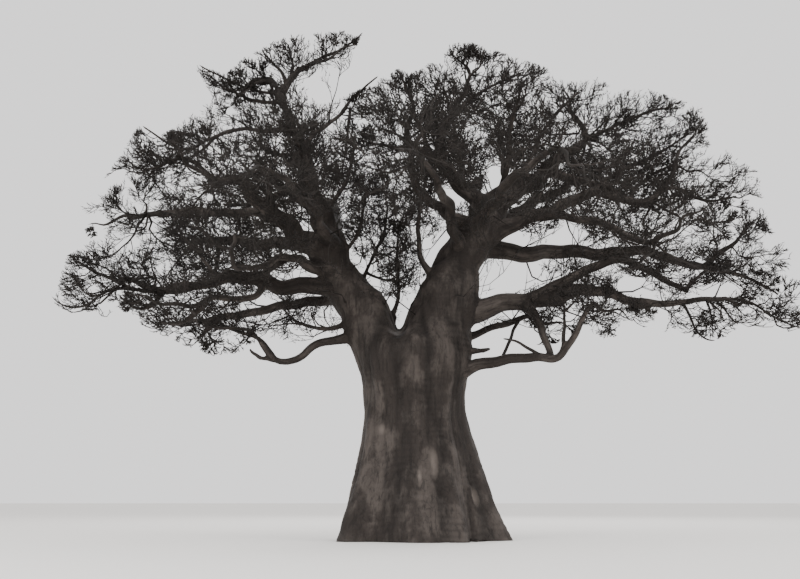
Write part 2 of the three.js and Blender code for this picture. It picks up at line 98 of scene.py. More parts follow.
# The limbs. Each has its parent and the share of the parent's run at which it
# leaves, or its foot in the trunk; its run; its rise and its bearing in degrees,
# at even steps along it; its girth, which is the diameter at its root and its tip;
# and where they aren't the usual ones, its taper, its collar, and how much of its
# run is buried in what carries it.
COLUMNS = ("parent", "at", "run", "rise", "bearing", "girth", "taper", "collar", "buried")
USUAL = {"taper": 1, "collar": COLLAR, "buried": 0}
MAIN_LIMBS = {
    "stem_left": ("trunk", (-0.76, 0, 6.05), 10.9, (60, 56, 71, 74, 71, 66), (178, 182),
        (2.5, 0.36), 1.8, 0),
    "stem_right": ("trunk", (0.56, 0, 6.3), 10.7, (84, 67, 65, 38, 36, 34), (345, 376, 394),
        (2.8, 0.34), 1.5, 0),
    "bough_left_crest": ("stem_left", 0.955, 1.65, (91, 48, 29), (0, 2), (0.31, 0.19), 0.7),
    "bough_left_top": ("stem_left", 0.849, 2.45, (-7, 12, -4), (164, 158), (0.19, 0.16), 1.4),
    "bough_left_inner": ("stem_left", 0.769, 2.3, (60, 41, 45), (41, 6), (0.21, 0.15), 1.4),
    "bough_left_high": ("stem_left", 0.384, 5.3, (48, 12, 34, 48, -40), (217, 223), (0.93, 0.24)),
    "bough_left_long": ("bough_left_high", 0.535, 4.8, (14, 6, 1), (146, 160), (0.35, 0.24), 0.7),
    "bough_left_back": ("bough_left_high", 0.286, 6.6, (3, 12, 7), (115, 141), (0.51, 0.27), 0.7),
    "bough_left_near": ("stem_left", 0.33, 5.9, (12, 2, -19, -12), (234, 246), (0.67, 0.19), 2.5),
    "bough_left_broad": ("stem_left", 0.225, 6, (37, 2, 7, -3, -22), (195, 194), (0.73, 0.29), 0.85),
    "bough_left_under": ("bough_left_broad", 0.588, 3.05, (-91, -32, 3, 2, -37), (236, 222),
        (0.25, 0.2), 0.85),
    "bough_left_low": ("stem_left", 0.204, 6.45, (23, 3, -12, 2, -8), (163, 141), (0.45, 0.26)),
    "bough_left_swoop": ("stem_left", 0.103, 4.65, (2, -7, -14, -20, -37, -16, 38, 59), (196, 204),
        (0.37, 0.15), 0.7),
    "bough_left_front": ("stem_left", 0.41, 7, (18, 12, 0), (262, 252), (0.62, 0.18), 1.2),
    "bough_left_rear": ("stem_left", 0.46, 7.4, (34, 24, 10), (88, 106), (0.62, 0.19), 1.2),
    "bough_right_crown": ("stem_right", 0.534, 3.8, (48, 42, 49, 23), (170, 159), (0.59, 0.29), 0.7),
    "bough_right_peak": ("bough_right_crown", 0.75, 2.55, (86, 69, 44), (334, 333), (0.33, 0.22), 1.2),
    "bough_right_inner": ("stem_right", 0.448, 5.15, (24, 3, 13, 21, 17), (218, 261), (0.43, 0.24), 0.7),
    "bough_right_back": ("stem_right", 0.47, 8, (20, 26, 26, 17), (50, 47), (0.52, 0.2)),
    "bough_right_long": ("stem_right", 0.408, 6.15, (18, 18, 31, 1, -22), (354, 359), (0.73, 0.29), 1.6),
    "bough_right_near": ("bough_right_long", 0.435, 4.8, (-9, -17, -26, -25), (315, 298),
        (0.29, 0.23), 0.7),
    "bough_right_broad": ("stem_right", 0.302, 9.2, (66, -4, -2, 5, 3, -9, -18), (10, 10),
        (0.77, 0.29), 1.2),
    "bough_right_low": ("stem_right", 0.128, 8.7, (17, 7, 10, 10, -12, -14, 13), (353, 349),
        (0.83, 0.21), 1.2),
    "bough_right_arch": ("bough_right_low", 0.355, 6.1, (24, 30, 29, 10, -23, -32, -30), (352, 350),
        (0.41, 0.16), 0.7),
    "bough_right_under": ("stem_right", 0.058, 3.4, (-8, 22, 21), (8, 14), (0.29, 0.22), 0.7),
    "bough_right_swoop": ("trunk", (1.24, -0.6, 5.44), 6.15, (38, 21, 1, -2, -8, 41, 56, 44), (343, 306),
        (0.47, 0.17), 1, COLLAR, 0.5),
    "bough_right_front": ("stem_right", 0.42, 7, (20, 12, 2), (282, 292), (0.62, 0.18), 1.2),
    "bough_right_rear": ("stem_right", 0.45, 7.4, (38, 30, 16), (92, 80), (0.62, 0.19), 1.2),
    "bough_middle_front": ("stem_right", 0.34, 7.6, (24, 14, 4), (262, 254), (0.52, 0.17), 1.2),
    "bough_centre": ("stem_right", 0.22, 3.7, (40, 42, 74, 104, 90), (198, 222), (0.28, 0.13)),
}
# Lesser boughs, which leave the others on their way, or take over from one where
# it ends. The last six run towards the viewer and away, and fill the crown's depth.
LESSER_BOUGHS = {
    "left_spur": ("stem_left", 0.76, 2.4, (-21, 8, 66), (196, 221), (0.21, 0.05)),
    "left_shelf": ("stem_left", 0.64, 3.75, (0, -10, 7), (144, 159), (0.39, 0.08)),
    "left_hook": ("bough_left_back", 0.94, 2.3, (48, 35, -11, 71), (157, 156), (0.19, 0.05)),
    "left_prop": ("bough_left_back", 0.88, 3.05, (-27, -35, -35), (278, 275), (0.2, 0.06), 0.6),
    "left_prong": ("bough_left_broad", 0.84, 2.9, (48, 41, 19), (137, 141), (0.21, 0.05)),
    "left_drop": ("bough_left_long", 0.35, 1.15, (-25, -30, -33), (89, 80), (0.18, 0.06), 0.6),
    "left_reach": ("bough_left_high", 0.97, 3.05, (3, 45, -27, -12), (194, 191), (0.2, 0.07)),
    "left_spike": ("bough_left_top", 0.99, 3.8, (-15, -27, 34, 37), (170, 170), (0.15, 0.06)),
    "left_elbow": ("bough_left_broad", 1, 2.7, (14, -60, 78), (186, 191), (0.31, 0.06)),
    "left_outer": ("left_elbow", 0.17, 3.65, (-22, 21, 32), (188, 192), (0.2, 0.07)),
    "left_lowest": ("left_outer", 0.4, 3, (9, -43, 52), (190, 195), (0.14, 0.05)),
    "left_loop": ("left_outer", 0.14, 1.45, (73, 12, -67), (208, 195), (0.1, 0.05)),
    "left_stub": ("bough_left_low", 0.97, 1, (-29, -52, -65), (185, 207), (0.32, 0.09), 0.6),
    "left_swing": ("bough_left_swoop", 0.84, 2.6, (67, 16, 32), (163, 170), (0.18, 0.06), 0.6),
    "left_knuckle": ("bough_left_swoop", 0.82, 1, (10, 6, 64), (191, 193), (0.18, 0.06), 0.6),
    "left_knee": ("bough_left_under", 1, 1.95, (-70, -22, 31), (190, 184), (0.26, 0.05)),
    "left_strut": ("stem_left", 0.21, 3.3, (-61, -5, 52), (197, 197), (0.28, 0.06)),
    "left_link": ("bough_left_broad", 0.59, 1.95, (23, 18, 0), (292, 312), (0.28, 0.21)),
    "left_riser": ("stem_left", 0.24, 3.85, (69, 62, 84), (27, 43), (0.18, 0.07)),
    "left_whip": ("stem_left", 0.39, 3, (26, 64, 81), (350, 290), (0.18, 0.07)),
    "left_climber": ("stem_left", 0.55, 3.5, (38, 69, 79), (15, 75), (0.21, 0.07)),
    "left_cross": ("left_riser", 0.29, 1.55, (-31, -19, 17), (332, 338), (0.11, 0.05)),
    "tuft_right": ("bough_left_crest", 0.97, 2.45, (35, 25, 49), (3, 3), (0.18, 0.04)),
    "tuft_left_high": ("stem_left", 0.98, 3.05, (-4, 22, 28), (189, 192), (0.13, 0.05)),
    "tuft_left_low": ("stem_left", 0.95, 2.45, (-5, 22, 27), (167, 163), (0.18, 0.06)),
    "tuft_front": ("bough_left_crest", 0.38, 1.6, (53, 32, 36), (232, 222), (0.14, 0.05)),
    "tuft_back": ("bough_left_crest", 0.48, 2.15, (55, 56, 50), (77, 118), (0.14, 0.05)),
    "left_inner_end": ("bough_left_inner", 0.95, 1.95, (60, 46, 38), (11, 7), (0.13, 0.05)),
    "right_drop": ("bough_right_low", 0.35, 3, (-42, -48, -53), (294, 284), (0.35, 0.22)),
    "right_fork": ("bough_right_swoop", 0.7, 1.9, (74, 83, 76), (307, 239), (0.16, 0.05)),
    "right_brace": ("bough_right_under", 0.95, 2.66, (-43, -39, -37), (244, 250), (0.12, 0.11)),
    "right_tie": ("bough_right_swoop", 0.58, 1.65, (33, 31, 9), (156, 157), (0.13, 0.04), 0.6),
    "right_stub": ("stem_right", 0.04, 2.2, (-13, -11, 5), (339, 326), (0.4, 0.06), 0.6),
    "right_knuckle": ("bough_right_low", 0.79, 0.6, (-11, -36, -66), (1, 0), (0.4, 0.09), 0.6),
    "right_outer": ("bough_right_low", 0.99, 3.85, (6, 2, -40, -19), (353, 351), (0.15, 0.05)),
    "right_hanger": ("bough_right_low", 0.97, 1.95, (-53, -72, 0), (302, 335), (0.12, 0.05)),
    "right_arch_tie": ("bough_right_arch", 0.98, 1.65, (44, 34, 21), (40, 30), (0.15, 0.05), 0.6),
    "right_broad_end": ("bough_right_broad", 0.99, 3.5, (-5, -14, -36), (7, 9), (0.27, 0.07)),
    "right_long_end": ("bough_right_long", 0.98, 3.8, (-3, 42, -42, 1, 17), (353, 354), (0.23, 0.05)),
    "right_long_top": ("bough_right_long", 0.95, 2.35, (64, 35, 22), (28, 13), (0.16, 0.06)),
    "right_cross": ("stem_right", 0.81, 3.4, (-35, -13, -38), (349, 349), (0.35, 0.08), 0.6),
    "right_crown_end": ("bough_right_crown", 0.88, 2.3, (30, 1, 18), (175, 175), (0.26, 0.05)),
    "right_crown_tie": ("bough_right_crown", 0.83, 2.45, (-50, -48, -48), (250, 267), (0.19, 0.07), 0.6),
    "right_summit": ("stem_right", 0.66, 4.6, (65, 61, 37), (24, 10), (0.22, 0.07)),
    "right_shoulder": ("stem_right", 0.91, 4.15, (30, 23, 6), (344, 348), (0.2, 0.07)),
    "right_crest": ("bough_right_long", 0.7, 5.2, (39, 25, 37), (22, 20), (0.18, 0.07)),
    "peak_left": ("bough_right_crown", 0.81, 3.75, (64, 73, 65), (164, 161), (0.18, 0.06)),
    "peak_right": ("bough_right_peak", 0.68, 3.45, (46, 34, 23), (20, 13), (0.16, 0.06)),
    "peak_top": ("bough_right_peak", 1, 2.1, (118, 110, 33, 37), (129, 223), (0.15, 0.05)),
    "fork_sprig": ("stem_left", 0.1, 4.25, (42, 95, 77), (2, 80), (0.21, 0.06)),
    "front_left": ("stem_left", 0.58, 4.2, (28, 40, 30), (255, 265), (0.3, 0.07)),
    "front_right": ("stem_right", 0.6, 4.8, (40, 44, 30), (270, 282), (0.3, 0.07)),
    "front_middle": ("bough_right_crown", 0.35, 4.4, (34, 46, 30), (262, 250), (0.26, 0.06)),
    "rear_left": ("stem_left", 0.66, 4.4, (34, 44, 30), (100, 88), (0.3, 0.07)),
    "rear_right": ("stem_right", 0.62, 5, (44, 50, 34), (95, 80), (0.3, 0.07)),
    "rear_middle": ("bough_right_crown", 0.55, 4.2, (36, 50, 34), (98, 110), (0.26, 0.06)),
}
LIMBS = {name: USUAL | dict(zip(COLUMNS, row)) for name, row in (MAIN_LIMBS | LESSER_BOUGHS).items()}

LINE_STEPS = 24
# A limb's small crooks: how far they stray beside its girths and at most, how they
# fade towards its ends, their run, and their fewest
CROOK = 0.10
CROOK_MOST = 0.13
CROOK_FADE = 0.7
CROOK_RUN = 2.4
FEWEST_CROOKS = 1.3
# The waves they are made of: size, pace, and how far each limb's number shifts them
CROOKS_ASIDE = ((1, 1, 2.1), (0.5, 2.3, 1))
CROOKS_OVER = ((1, 0.8, 3.7), (0.5, 1.9, 0))
# A line this near to upright has no level direction across it of its own
UPRIGHT = 0.1


def spread(values, share):
    """The value at a share of the way along a row of evenly spaced values"""
    return np.interp(np.asarray(share) * (len(values) - 1), range(len(values)), values)


def heading_at(limb, share):
    """A limb's direction at one or more shares of its run"""
    rise = np.radians(spread(limb["rise"], share))
    bearing = np.radians(spread(limb["bearing"], share))
    level = np.cos(rise)
    return np.stack([level * np.cos(bearing), level * np.sin(bearing), np.sin(rise)], axis=-1)


def limb_radius(limb, share):
    """A limb's radius, with the swollen collar where it comes out of its parent"""
    root, tip = limb["girth"]
    girth = tip + (root - tip) * (1 - share) ** limb["taper"]
    clear = np.maximum(0, share * limb["run"] - limb["buried"]) / (COLLAR_RUN * root)
    return girth / 2 * (1 + limb["collar"] * np.maximum(0, 1 - clear) ** 2)


def point_on(line, share):
    """The point at one or more shares of the way along a line"""
    place = np.asarray(share) * (len(line) - 1)
    return np.stack([np.interp(place, range(len(line)), line[:, axis]) for axis in range(3)], axis=-1)


def side_frames(line):
    """A direction across a line at each of its points, not twisted against the next"""
    steps = np.gradient(line, axis=0)
    steps /= np.linalg.norm(steps, axis=1, keepdims=True)
    side = np.cross(steps[0], (0, 0, 1.0))
    if np.linalg.norm(side) < UPRIGHT:
        side = np.array((1.0, 0, 0))
    sides = []
    for step in steps:
        side = side - side.dot(step) * step
        side = side / np.linalg.norm(side)
        sides.append(side)
    return np.array(sides), np.cross(steps, sides)


def line_heading(limb, share):
    """The direction of a limb's crooked line at shares of its run"""
    steps = np.gradient(limb["line"], axis=0)
    heading = point_on(steps, share)
    return heading / np.linalg.norm(heading, axis=-1, keepdims=True)


def crook(limb, number):
    """Small crooks along a limb, which leave both its ends where they are"""
    share = np.linspace(0, 1, LINE_STEPS + 1)
    amount = min(CROOK_MOST, CROOK * sum(limb["girth"])) * np.sin(np.pi * share) ** CROOK_FADE
    turns = max(FEWEST_CROOKS, limb["run"] / CROOK_RUN)
    aside, over = (
        sum(size * np.sin(2 * np.pi * pace * turns * share + number * shift) for size, pace, shift in waves)
        for waves in (CROOKS_ASIDE, CROOKS_OVER)
    )
    side, up = side_frames(limb["line"])
    return (side * aside[:, None] + up * over[:, None]) * amount[:, None]


for number, limb in enumerate(LIMBS.values()):
    if limb["parent"] == "trunk":
        foot = np.array(limb["at"], float)
    else:
        parent = LIMBS[limb["parent"]]
        foot = point_on(parent["line"], limb["at"])
        limb["buried"] = float(limb_radius(parent, limb["at"]))
    steps = heading_at(limb, (np.arange(LINE_STEPS) + 0.5) / LINE_STEPS) * limb["run"] / LINE_STEPS
    limb["line"] = np.vstack([foot, foot + np.cumsum(steps, axis=0)])
    limb["line"] += crook(limb, number)

# The trunk's own heights and radii, in metres; the powers that curve its flare, its
# shoulder and the dome under the fork; its lean; and its depth beside its width
WAIST_HEIGHT = 4.4
WAIST_RADIUS = 1.76
FOOT_RADIUS = 2.81
SHOULDER_HEIGHT = 6.6
SHOULDER_RADIUS = 2.07
FORK_HEIGHT = 7.28
FLARE_POWER = 1.25
SHOULDER_POWER = 1.4
DOME_POWER = 0.7
TRUNK_LEAN = -0.11
FOOT_SHIFT = 0.07
TRUNK_DEPTH = 0.94
TRUNK_SIDES = 48
TRUNK_RING_RUN = 0.25
BELOW_GROUND = 0.5
DOME_STEPS = 6
# The trunk and the roots of its limbs are softened so many times where they join,
# the most where a limb is as stout as this, and the least where it is slim
TRUNK_ROUNDS = 17
SOFTENING = 0.65
SOFTENED_RADIUS = 0.9
LEAST_SOFTENED = 0.2
# The shoulder under the fork is softened this far up and down, from this depth on
SHOULDER_SOFTENING = 0.7
SHOULDER_REACH = 1.3
SHOULDER_ROUNDS = 290
SHOULDER_DEPTH = 0.5
# The narrow cleft between the stems: its place and half sizes along X and Z, and
# how much deeper it runs than the stems alone would leave it
CROTCH_PLACE = (-0.60, 7.66)
CROTCH_SIZE = (0.34, 0.6)
CROTCH_DROP = 0.42
# Broad folds up the trunk: how many, how deep, and where the first one lies; how
# much deeper they grow at its foot, and where they fade out under a stem or bough
FOLDS = ((5, 0.030, 0.4), (8, 0.018, 1.9), (13, 0.010, 0.9))
FOOT_FOLDING = 2.2
FOLDS_FADE = 1.2

# The skin over the joined limbs, and the rings and sides of the tubes under it
STEM_SKIN = 0.054
STEM_SIDES = 40
TUBE_RING_RUN = 0.12
FEWEST_RINGS = 3
TUBE_SIDES = 20
# A bough's root starts at this share of its buried run. Its collar ends this many
# girths past the bark, and is a little full at first and drawn in at its end.
ROOT_START = 0.3
COLLAR_REACH = 1.1
COLLAR_FULL = 1.08
COLLAR_END = 0.86


def trunk_radius(height):
    """The trunk's mean radius at a height"""
    drop = np.clip((WAIST_HEIGHT - height) / WAIST_HEIGHT, 0, None)
    climb = np.clip((height - WAIST_HEIGHT) / (SHOULDER_HEIGHT - WAIST_HEIGHT), 0, 1)
    flare = (FOOT_RADIUS - WAIST_RADIUS) * drop ** FLARE_POWER
    return WAIST_RADIUS + flare + (SHOULDER_RADIUS - WAIST_RADIUS) * climb ** SHOULDER_POWER


def trunk_shift(height):
    """How far the trunk's middle lies along X at a height"""
    return FOOT_SHIFT + TRUNK_LEAN * np.clip(height / WAIST_HEIGHT, 0, 1)


def grow_tube(path, headings, radii, sides):
    """A closed tube extruded ring by ring along a path, each ring square to it"""
    tube = bmesh.new()
    bmesh.ops.create_circle(tube, cap_ends=True, segments=sides, radius=radii[0])
    path = [Vector(point) for point in path]
    headings = [Vector(heading) for heading in headings]
    stand = Vector((0, 0, 1)).rotation_difference(headings[0]).to_matrix().to_4x4()
    bmesh.ops.transform(tube, matrix=Matrix.Translation(path[0]) @ stand, verts=tube.verts)
    rim = list(tube.edges)
    for ring in range(1, len(path)):
        made = bmesh.ops.extrude_edge_only(tube, edges=rim)["geom"]
        points = {part for part in made if isinstance(part, bmesh.types.BMVert)}
        rim = [part for part in made if isinstance(part, bmesh.types.BMEdge)
               and part.verts[0] in points and part.verts[1] in points]
        turn = headings[ring - 1].rotation_difference(headings[ring]).to_matrix().to_4x4()
        swell = Matrix.Scale(radii[ring] / radii[ring - 1], 4)
        move = Matrix.Translation(path[ring]) @ turn @ swell @ Matrix.Translation(-path[ring - 1])
        bmesh.ops.transform(tube, matrix=move, verts=list(points))
    bmesh.ops.contextual_create(tube, geom=rim)
    bmesh.ops.recalc_face_normals(tube, faces=tube.faces)
    return tube


def limb_tube(limb, start=0.0, end=1.0, fit=lambda share: 1.0, sides=TUBE_SIDES):
    """A stretch of a limb as a tube, its radius times a fit that may change along it"""
    rings = max(FEWEST_RINGS, round((end - start) * limb["run"] / TUBE_RING_RUN))
    shares = np.linspace(start, end, rings + 1)
    radii = limb_radius(limb, shares) * np.array([fit(share) for share in shares])
    return grow_tube(point_on(limb["line"], shares), line_heading(limb, shares), radii, sides)


def trunk_tube():
    """The trunk from below the ground to the dome under the fork"""
    rings = round((SHOULDER_HEIGHT + BELOW_GROUND) / TRUNK_RING_RUN)
    heights = list(np.linspace(-BELOW_GROUND, SHOULDER_HEIGHT, rings + 1))
    radii = [float(trunk_radius(height)) for height in heights]
    for step in range(1, DOME_STEPS):
        turn = step / DOME_STEPS * math.pi / 2
        heights.append(SHOULDER_HEIGHT + (FORK_HEIGHT - SHOULDER_HEIGHT) * math.sin(turn))
        radii.append(SHOULDER_RADIUS * math.cos(turn) ** DOME_POWER)
    path = [(float(trunk_shift(height)), 0, height) for height in heights]
    tube = grow_tube(path, [(0, 0, 1)] * len(path), radii, TRUNK_SIDES)
    bmesh.ops.scale(tube, vec=(1, TRUNK_DEPTH, 1), verts=tube.verts)
    return tube


def fuse(name, tubes, skin):
    """One skin over closed tubes that run into each other"""
    whole = bmesh.new()
    for tube in tubes:
        part = bpy.data.meshes.new("part")
        tube.to_mesh(part)
        tube.free()
        whole.from_mesh(part)
        bpy.data.meshes.remove(part)
    mesh = bpy.data.meshes.new(name)
    whole.to_mesh(mesh)
    whole.free()
    piece = bpy.data.objects.new(name, mesh)
    bpy.context.collection.objects.link(piece)
    remesh = piece.modifiers.new("skin", "REMESH")
    remesh.mode = "VOXEL"
    remesh.voxel_size = skin
    shown = bpy.context.evaluated_depsgraph_get()
    fused = bpy.data.meshes.new_from_object(piece.evaluated_get(shown))
    piece.modifiers.clear()
    piece.data = fused
    fused.name = name
    bpy.data.meshes.remove(mesh)
    return piece


def read_points(mesh, name="co"):
    """The mesh's points or their normals as an array"""
    values = np.empty(len(mesh.vertices) * 3)
    mesh.vertices.foreach_get(name, values)
    return values.reshape(-1, 3)


def soften(points, edges, amount, rounds):
    """Draws each point towards the middle of its neighbours by its own amount"""
    ties = np.bincount(edges.ravel(), minlength=len(points))
    for _ in range(rounds):
        for axis in range(points.shape[1]):
            near = np.bincount(edges[:, 0], points[edges[:, 1], axis], len(points))
            near += np.bincount(edges[:, 1], points[edges[:, 0], axis], len(points))
            points[:, axis] += amount * (near / ties - points[:, axis])
    return points


def nearest_on(points, line):
    """For each point, the share of the line nearest to it and its offset from there"""
    share = np.zeros(len(points))
    offset = np.zeros((len(points), 3))
    best = np.full(len(points), np.inf)
    for step in range(len(line) - 1):
        stretch = line[step + 1] - line[step]
        place = np.clip((points - line[step]) @ stretch / (stretch @ stretch), 0, 1)
        away = points - line[step] - place[:, None] * stretch
        distance = np.einsum("ij,ij->i", away, away)
        closer = distance < best
        best[closer] = distance[closer]
        share[closer] = (step + place[closer]) / (len(line) - 1)
        offset[closer] = away[closer]
    return share, offset


def read_bark(points, limbs, with_trunk):
    """Where each point lies on the bark: run along its limb, angle round it, the
    limb's radius there, its number, and how near another limb's bark comes"""
    found = []
    if with_trunk:
        height = np.clip(points[:, 2], None, SHOULDER_HEIGHT)
        across = points[:, 0] - trunk_shift(height)
        angle = np.arctan2(points[:, 1] / TRUNK_DEPTH, across)
        radius = trunk_radius(height)
        depth = np.hypot(across, points[:, 1] / TRUNK_DEPTH) - radius
        depth = np.maximum(depth, points[:, 2] - FORK_HEIGHT)
        found.append((depth, points[:, 2], angle, radius))
    for limb in limbs:
        share, offset = nearest_on(points, limb["line"])
        side, up = side_frames(limb["line"])
        angle = np.arctan2(np.einsum("ij,ij->i", offset, point_on(up, share)),
                           np.einsum("ij,ij->i", offset, point_on(side, share)))
        radius = limb_radius(limb, share)
        found.append((np.linalg.norm(offset, axis=1) - radius, share * limb["run"], angle, radius))
    depths = np.array([one[0] for one in found])
    order = np.argsort(depths, axis=0)
    first = order[0]
    rows = np.arange(len(points))
    other = depths[order[1], rows] - depths[first, rows]
    run, angle, radius = (np.array([one[k] for one in found])[first, rows] for k in (1, 2, 3))
    return run, angle, radius, first, other


# How wide the valleys between lobes are; how the noise fades and quickens from one
# octave to the next; and how its seed shifts it along X, Y and Z
VALLEY_WIDTH = 0.7
OCTAVE_FADE = 1.0
OCTAVE_STEP = 2.0
SEED_SHIFTS = (1, 1.7, 0.6)


def pleat(turn):
    """A row of soft lobes with narrow valleys between them: 1 in a valley, 0 on a lobe"""
    return 1 - np.abs(np.sin(turn / 2)) ** VALLEY_WIDTH


def rough(points, stretch, size, octaves, seed):
    """Smooth noise from about -1 to 1, with lumps of about the size given"""
    shift = Vector([seed * times for times in SEED_SHIFTS])
    return np.array([noise.fractal(Vector(point) / size + shift, OCTAVE_FADE, OCTAVE_STEP, octaves)
                     for point in points * (1, 1, stretch)])


# The noises that the relief follows: how they are squeezed along a limb, the size
# of their lumps, their octaves and their seed
WANDER = (0.35, 1.6, 2, 0.0)
LUMPS = (0.6, 0.8, 3, 5.0)
PATCHES = (1, 1.2, 2, 9.0)
# How far the noises of one limb lie from those of the next
LIMB_SHIFT = 3.7

# Flutes to a metre of a limb's radius at its root, the fewest and the most
FLUTES = 5.5
FEWEST_FLUTES = 3
MOST_FLUTES = 11
# How far up a stem the trunk's flutes run on past the fork
FLUTES_FADE = 1.6
# Broad, finer and finest flutes: how many to one broad flute and how many more; how
# far they turn from limb to limb, with the noise and along the run; their depth to a
# metre of radius, the shares of it that are even and patchy, and the painted shade
# in their valleys
FLUTE_ROWS = (
    (1, 0, 1.3, 2.2, 0, 0.055, 0.6, 0.6, 0.55),
    (2, 1, 2.9, -3.0, 0.6, 0.020, 1, 0, 0.30),
    (5, 3, 0, 5.0, -0.8, 0.006, 1, 0, 0.10),
)
# Limbs thinner than this are as rough as one of this radius, and the lumps and
# creases of those stouter than a metre are as on one of a metre
THIN = 0.12
STOUT = 1.0
LUMP_DEPTH = 0.055
# Rings round a limb: the gap between them on a thin one, and more for each metre of
# radius up to the last; how the noises sway them; where they show, evenly, in
# patches and at least; the radii between which they deepen; their depth, and the
# painted shade in their grooves
RING_GAP = (0.10, 0.09, 1.2)
RING_SWAY = (5.0, 1.5)
RINGS_SHOW = (0.35, 1.1, 0.05)
RING_SIZES = (0.15, 0.9)
RING_DEPTH = 0.022
RING_PAINTED_SHADE = 0.25
# The crease where two limbs meet: its width on a thin limb, and more for each metre
# of radius; how much of the relief it takes away; the painted shade in it; and its
# share in the trunk's shoulder, where all runs smoothly into the stems
CREASE_WIDTH = (0.10, 0.12)
CREASE_CALM = 0.85
CREASE_PAINTED_SHADE = 0.20
SHOULDER_CREASE = 0.3

# Old scars and healed wounds on the trunk: angle round it in degrees, height,
# half width, half height, depth. The first stands out pale on the front.
SCARS = ((-75, 2.55, 0.15, 0.46, 0.055), (-88, 2.15, 0.07, 0.22, 0.03), (-128, 3.7, 0.12, 0.20, 0.04),
         (-30, 1.5, 0.16, 0.30, 0.05), (35, 2.9, 0.18, 0.40, 0.06), (100, 1.9, 0.15, 0.5, 0.05),
         (150, 4.2, 0.16, 0.22, 0.05), (-160, 1.6, 0.14, 0.34, 0.05), (75, 5.0, 0.12, 0.2, 0.04))
# Their lip's width and height beside their own, how far their pit and their pale
# wood reach, how ragged they are, and where no scar is near
SCAR_LIP = (0.45, 0.7)
SCAR_PIT = 1.1
SCAR_PALE = 1.25
SCAR_RAGGED = 0.15
NO_SCAR = 9.0


def flutes_round(run, angle, size, count, number, wander, patchy):
    """How far the long flutes round a limb fall in, in metres, and how much painted shade
    each point takes in their valleys"""
    fall = painted_shade = 0
    for times, more, turn, sway, drift, depth, even, patches, valley_shade in FLUTE_ROWS:
        valley = pleat((times * count + more) * angle + number * turn + sway * wander + drift * run)
        fall = fall + depth * valley * (even + patches * patchy)
        painted_shade = painted_shade + valley_shade * valley
    return -size * fall, painted_shade


def add_trunk_relief(points, angle, radius, number, other, flutes, height, painted_shade):
    """Runs the trunk's flutes and their painted shade on into the stems, and folds the trunk itself broadly
    """
    above = np.where(number > 0, np.clip(other / FLUTES_FADE, 0, 1) ** 2, 0)
    height += (flutes[0] - height) * (1 - above)
    painted_shade += (flutes[1] - painted_shade) * (1 - above)
    drop = np.clip(1 - points[:, 2] / WAIST_HEIGHT, 0, None) ** 2
    wave = sum(depth * np.cos(count * angle + turn) for count, depth, turn in FOLDS)
    own = (number == 0) * np.clip(other / FOLDS_FADE, 0, 1) ** 2
    height += own * radius * (1 + FOOT_FOLDING * drop) * wave


def add_scars(points, angle, radius, number, lumps, height):
    """Sinks the old scars into the trunk with a lip round each, and says where they are"""
    scar = np.zeros(len(points))
    for bearing, up, wide, tall, depth in SCARS:
        aside = (np.degrees(angle) - bearing + 180) % 360 - 180
        reach = np.hypot(np.radians(aside) * radius / wide, (points[:, 2] - up) / tall)
        reach = np.where(number == 0, reach, NO_SCAR) + SCAR_RAGGED * lumps
        lip = SCAR_LIP[1] * np.exp(-((reach - 1) / SCAR_LIP[0]) ** 2)
        height += depth * (lip - np.clip(SCAR_PIT - reach, 0, 1))
        scar = np.maximum(scar, np.clip(SCAR_PALE - reach, 0, 1))
    return scar


def bark_relief(points, run, angle, radius, number, other, counts, with_trunk):
    """How far the bark stands out or falls in, in metres, the painted shade that each
    point takes in flute valleys, ring grooves and creases and how deep in a scar it
    lies, from 0 to 1, and its place on the bark"""
    place = np.stack([np.cos(angle) * radius, np.sin(angle) * radius, run], axis=1)
    spot = points.copy() if with_trunk else place + number[:, None] * LIMB_SHIFT
    wander, lumps, patchy = (rough(spot, *cloud) for cloud in (WANDER, LUMPS, PATCHES))
    size = np.maximum(radius, THIN)
    height, painted_shade = flutes_round(run, angle, size, counts[number], number, wander, patchy)
    if with_trunk:
        up = np.clip(points[:, 2], None, SHOULDER_HEIGHT)
        trunk_angle = np.arctan2(points[:, 1] / TRUNK_DEPTH, points[:, 0] - trunk_shift(up))
        flutes = flutes_round(points[:, 2], trunk_angle, trunk_radius(up), counts[0], 0, wander, patchy)
        add_trunk_relief(points, angle, radius, number, other, flutes, height, painted_shade)
    gap = RING_GAP[0] + RING_GAP[1] * np.minimum(size, RING_GAP[2])
    rings = pleat(2 * math.pi * spot[:, 2] / gap + RING_SWAY[0] * wander + RING_SWAY[1] * lumps)
    even, patches, least = RINGS_SHOW
    ringed = np.clip(even + patches * patchy, least, 1) * np.clip(size, *RING_SIZES)
    height += np.minimum(size, STOUT) * LUMP_DEPTH * lumps - RING_DEPTH * ringed * rings
    painted_shade += RING_PAINTED_SHADE * rings * ringed
    crease = np.exp(-(other / (CREASE_WIDTH[0] + CREASE_WIDTH[1] * np.minimum(size, STOUT))) ** 2)
    if with_trunk:
        crease[(number <= len(stems)) & (points[:, 2] < FORK_HEIGHT)] *= SHOULDER_CREASE
    height *= 1 - CREASE_CALM * crease
    painted_shade = np.clip(painted_shade + CREASE_PAINTED_SHADE * crease, 0, 1)
    if with_trunk:
        scar = add_scars(points, angle, radius, number, lumps, height)
    else:
        scar = np.zeros(len(points))
    return height, painted_shade, scar, spot


def add_attribute(mesh, name, kind, values):
    """A value kept at each point of a mesh, for its material to read"""
    layer = mesh.attributes.new(name, kind, "POINT")
    layer.data.foreach_set("vector" if kind == "FLOAT_VECTOR" else "value", np.ravel(values).astype("f"))


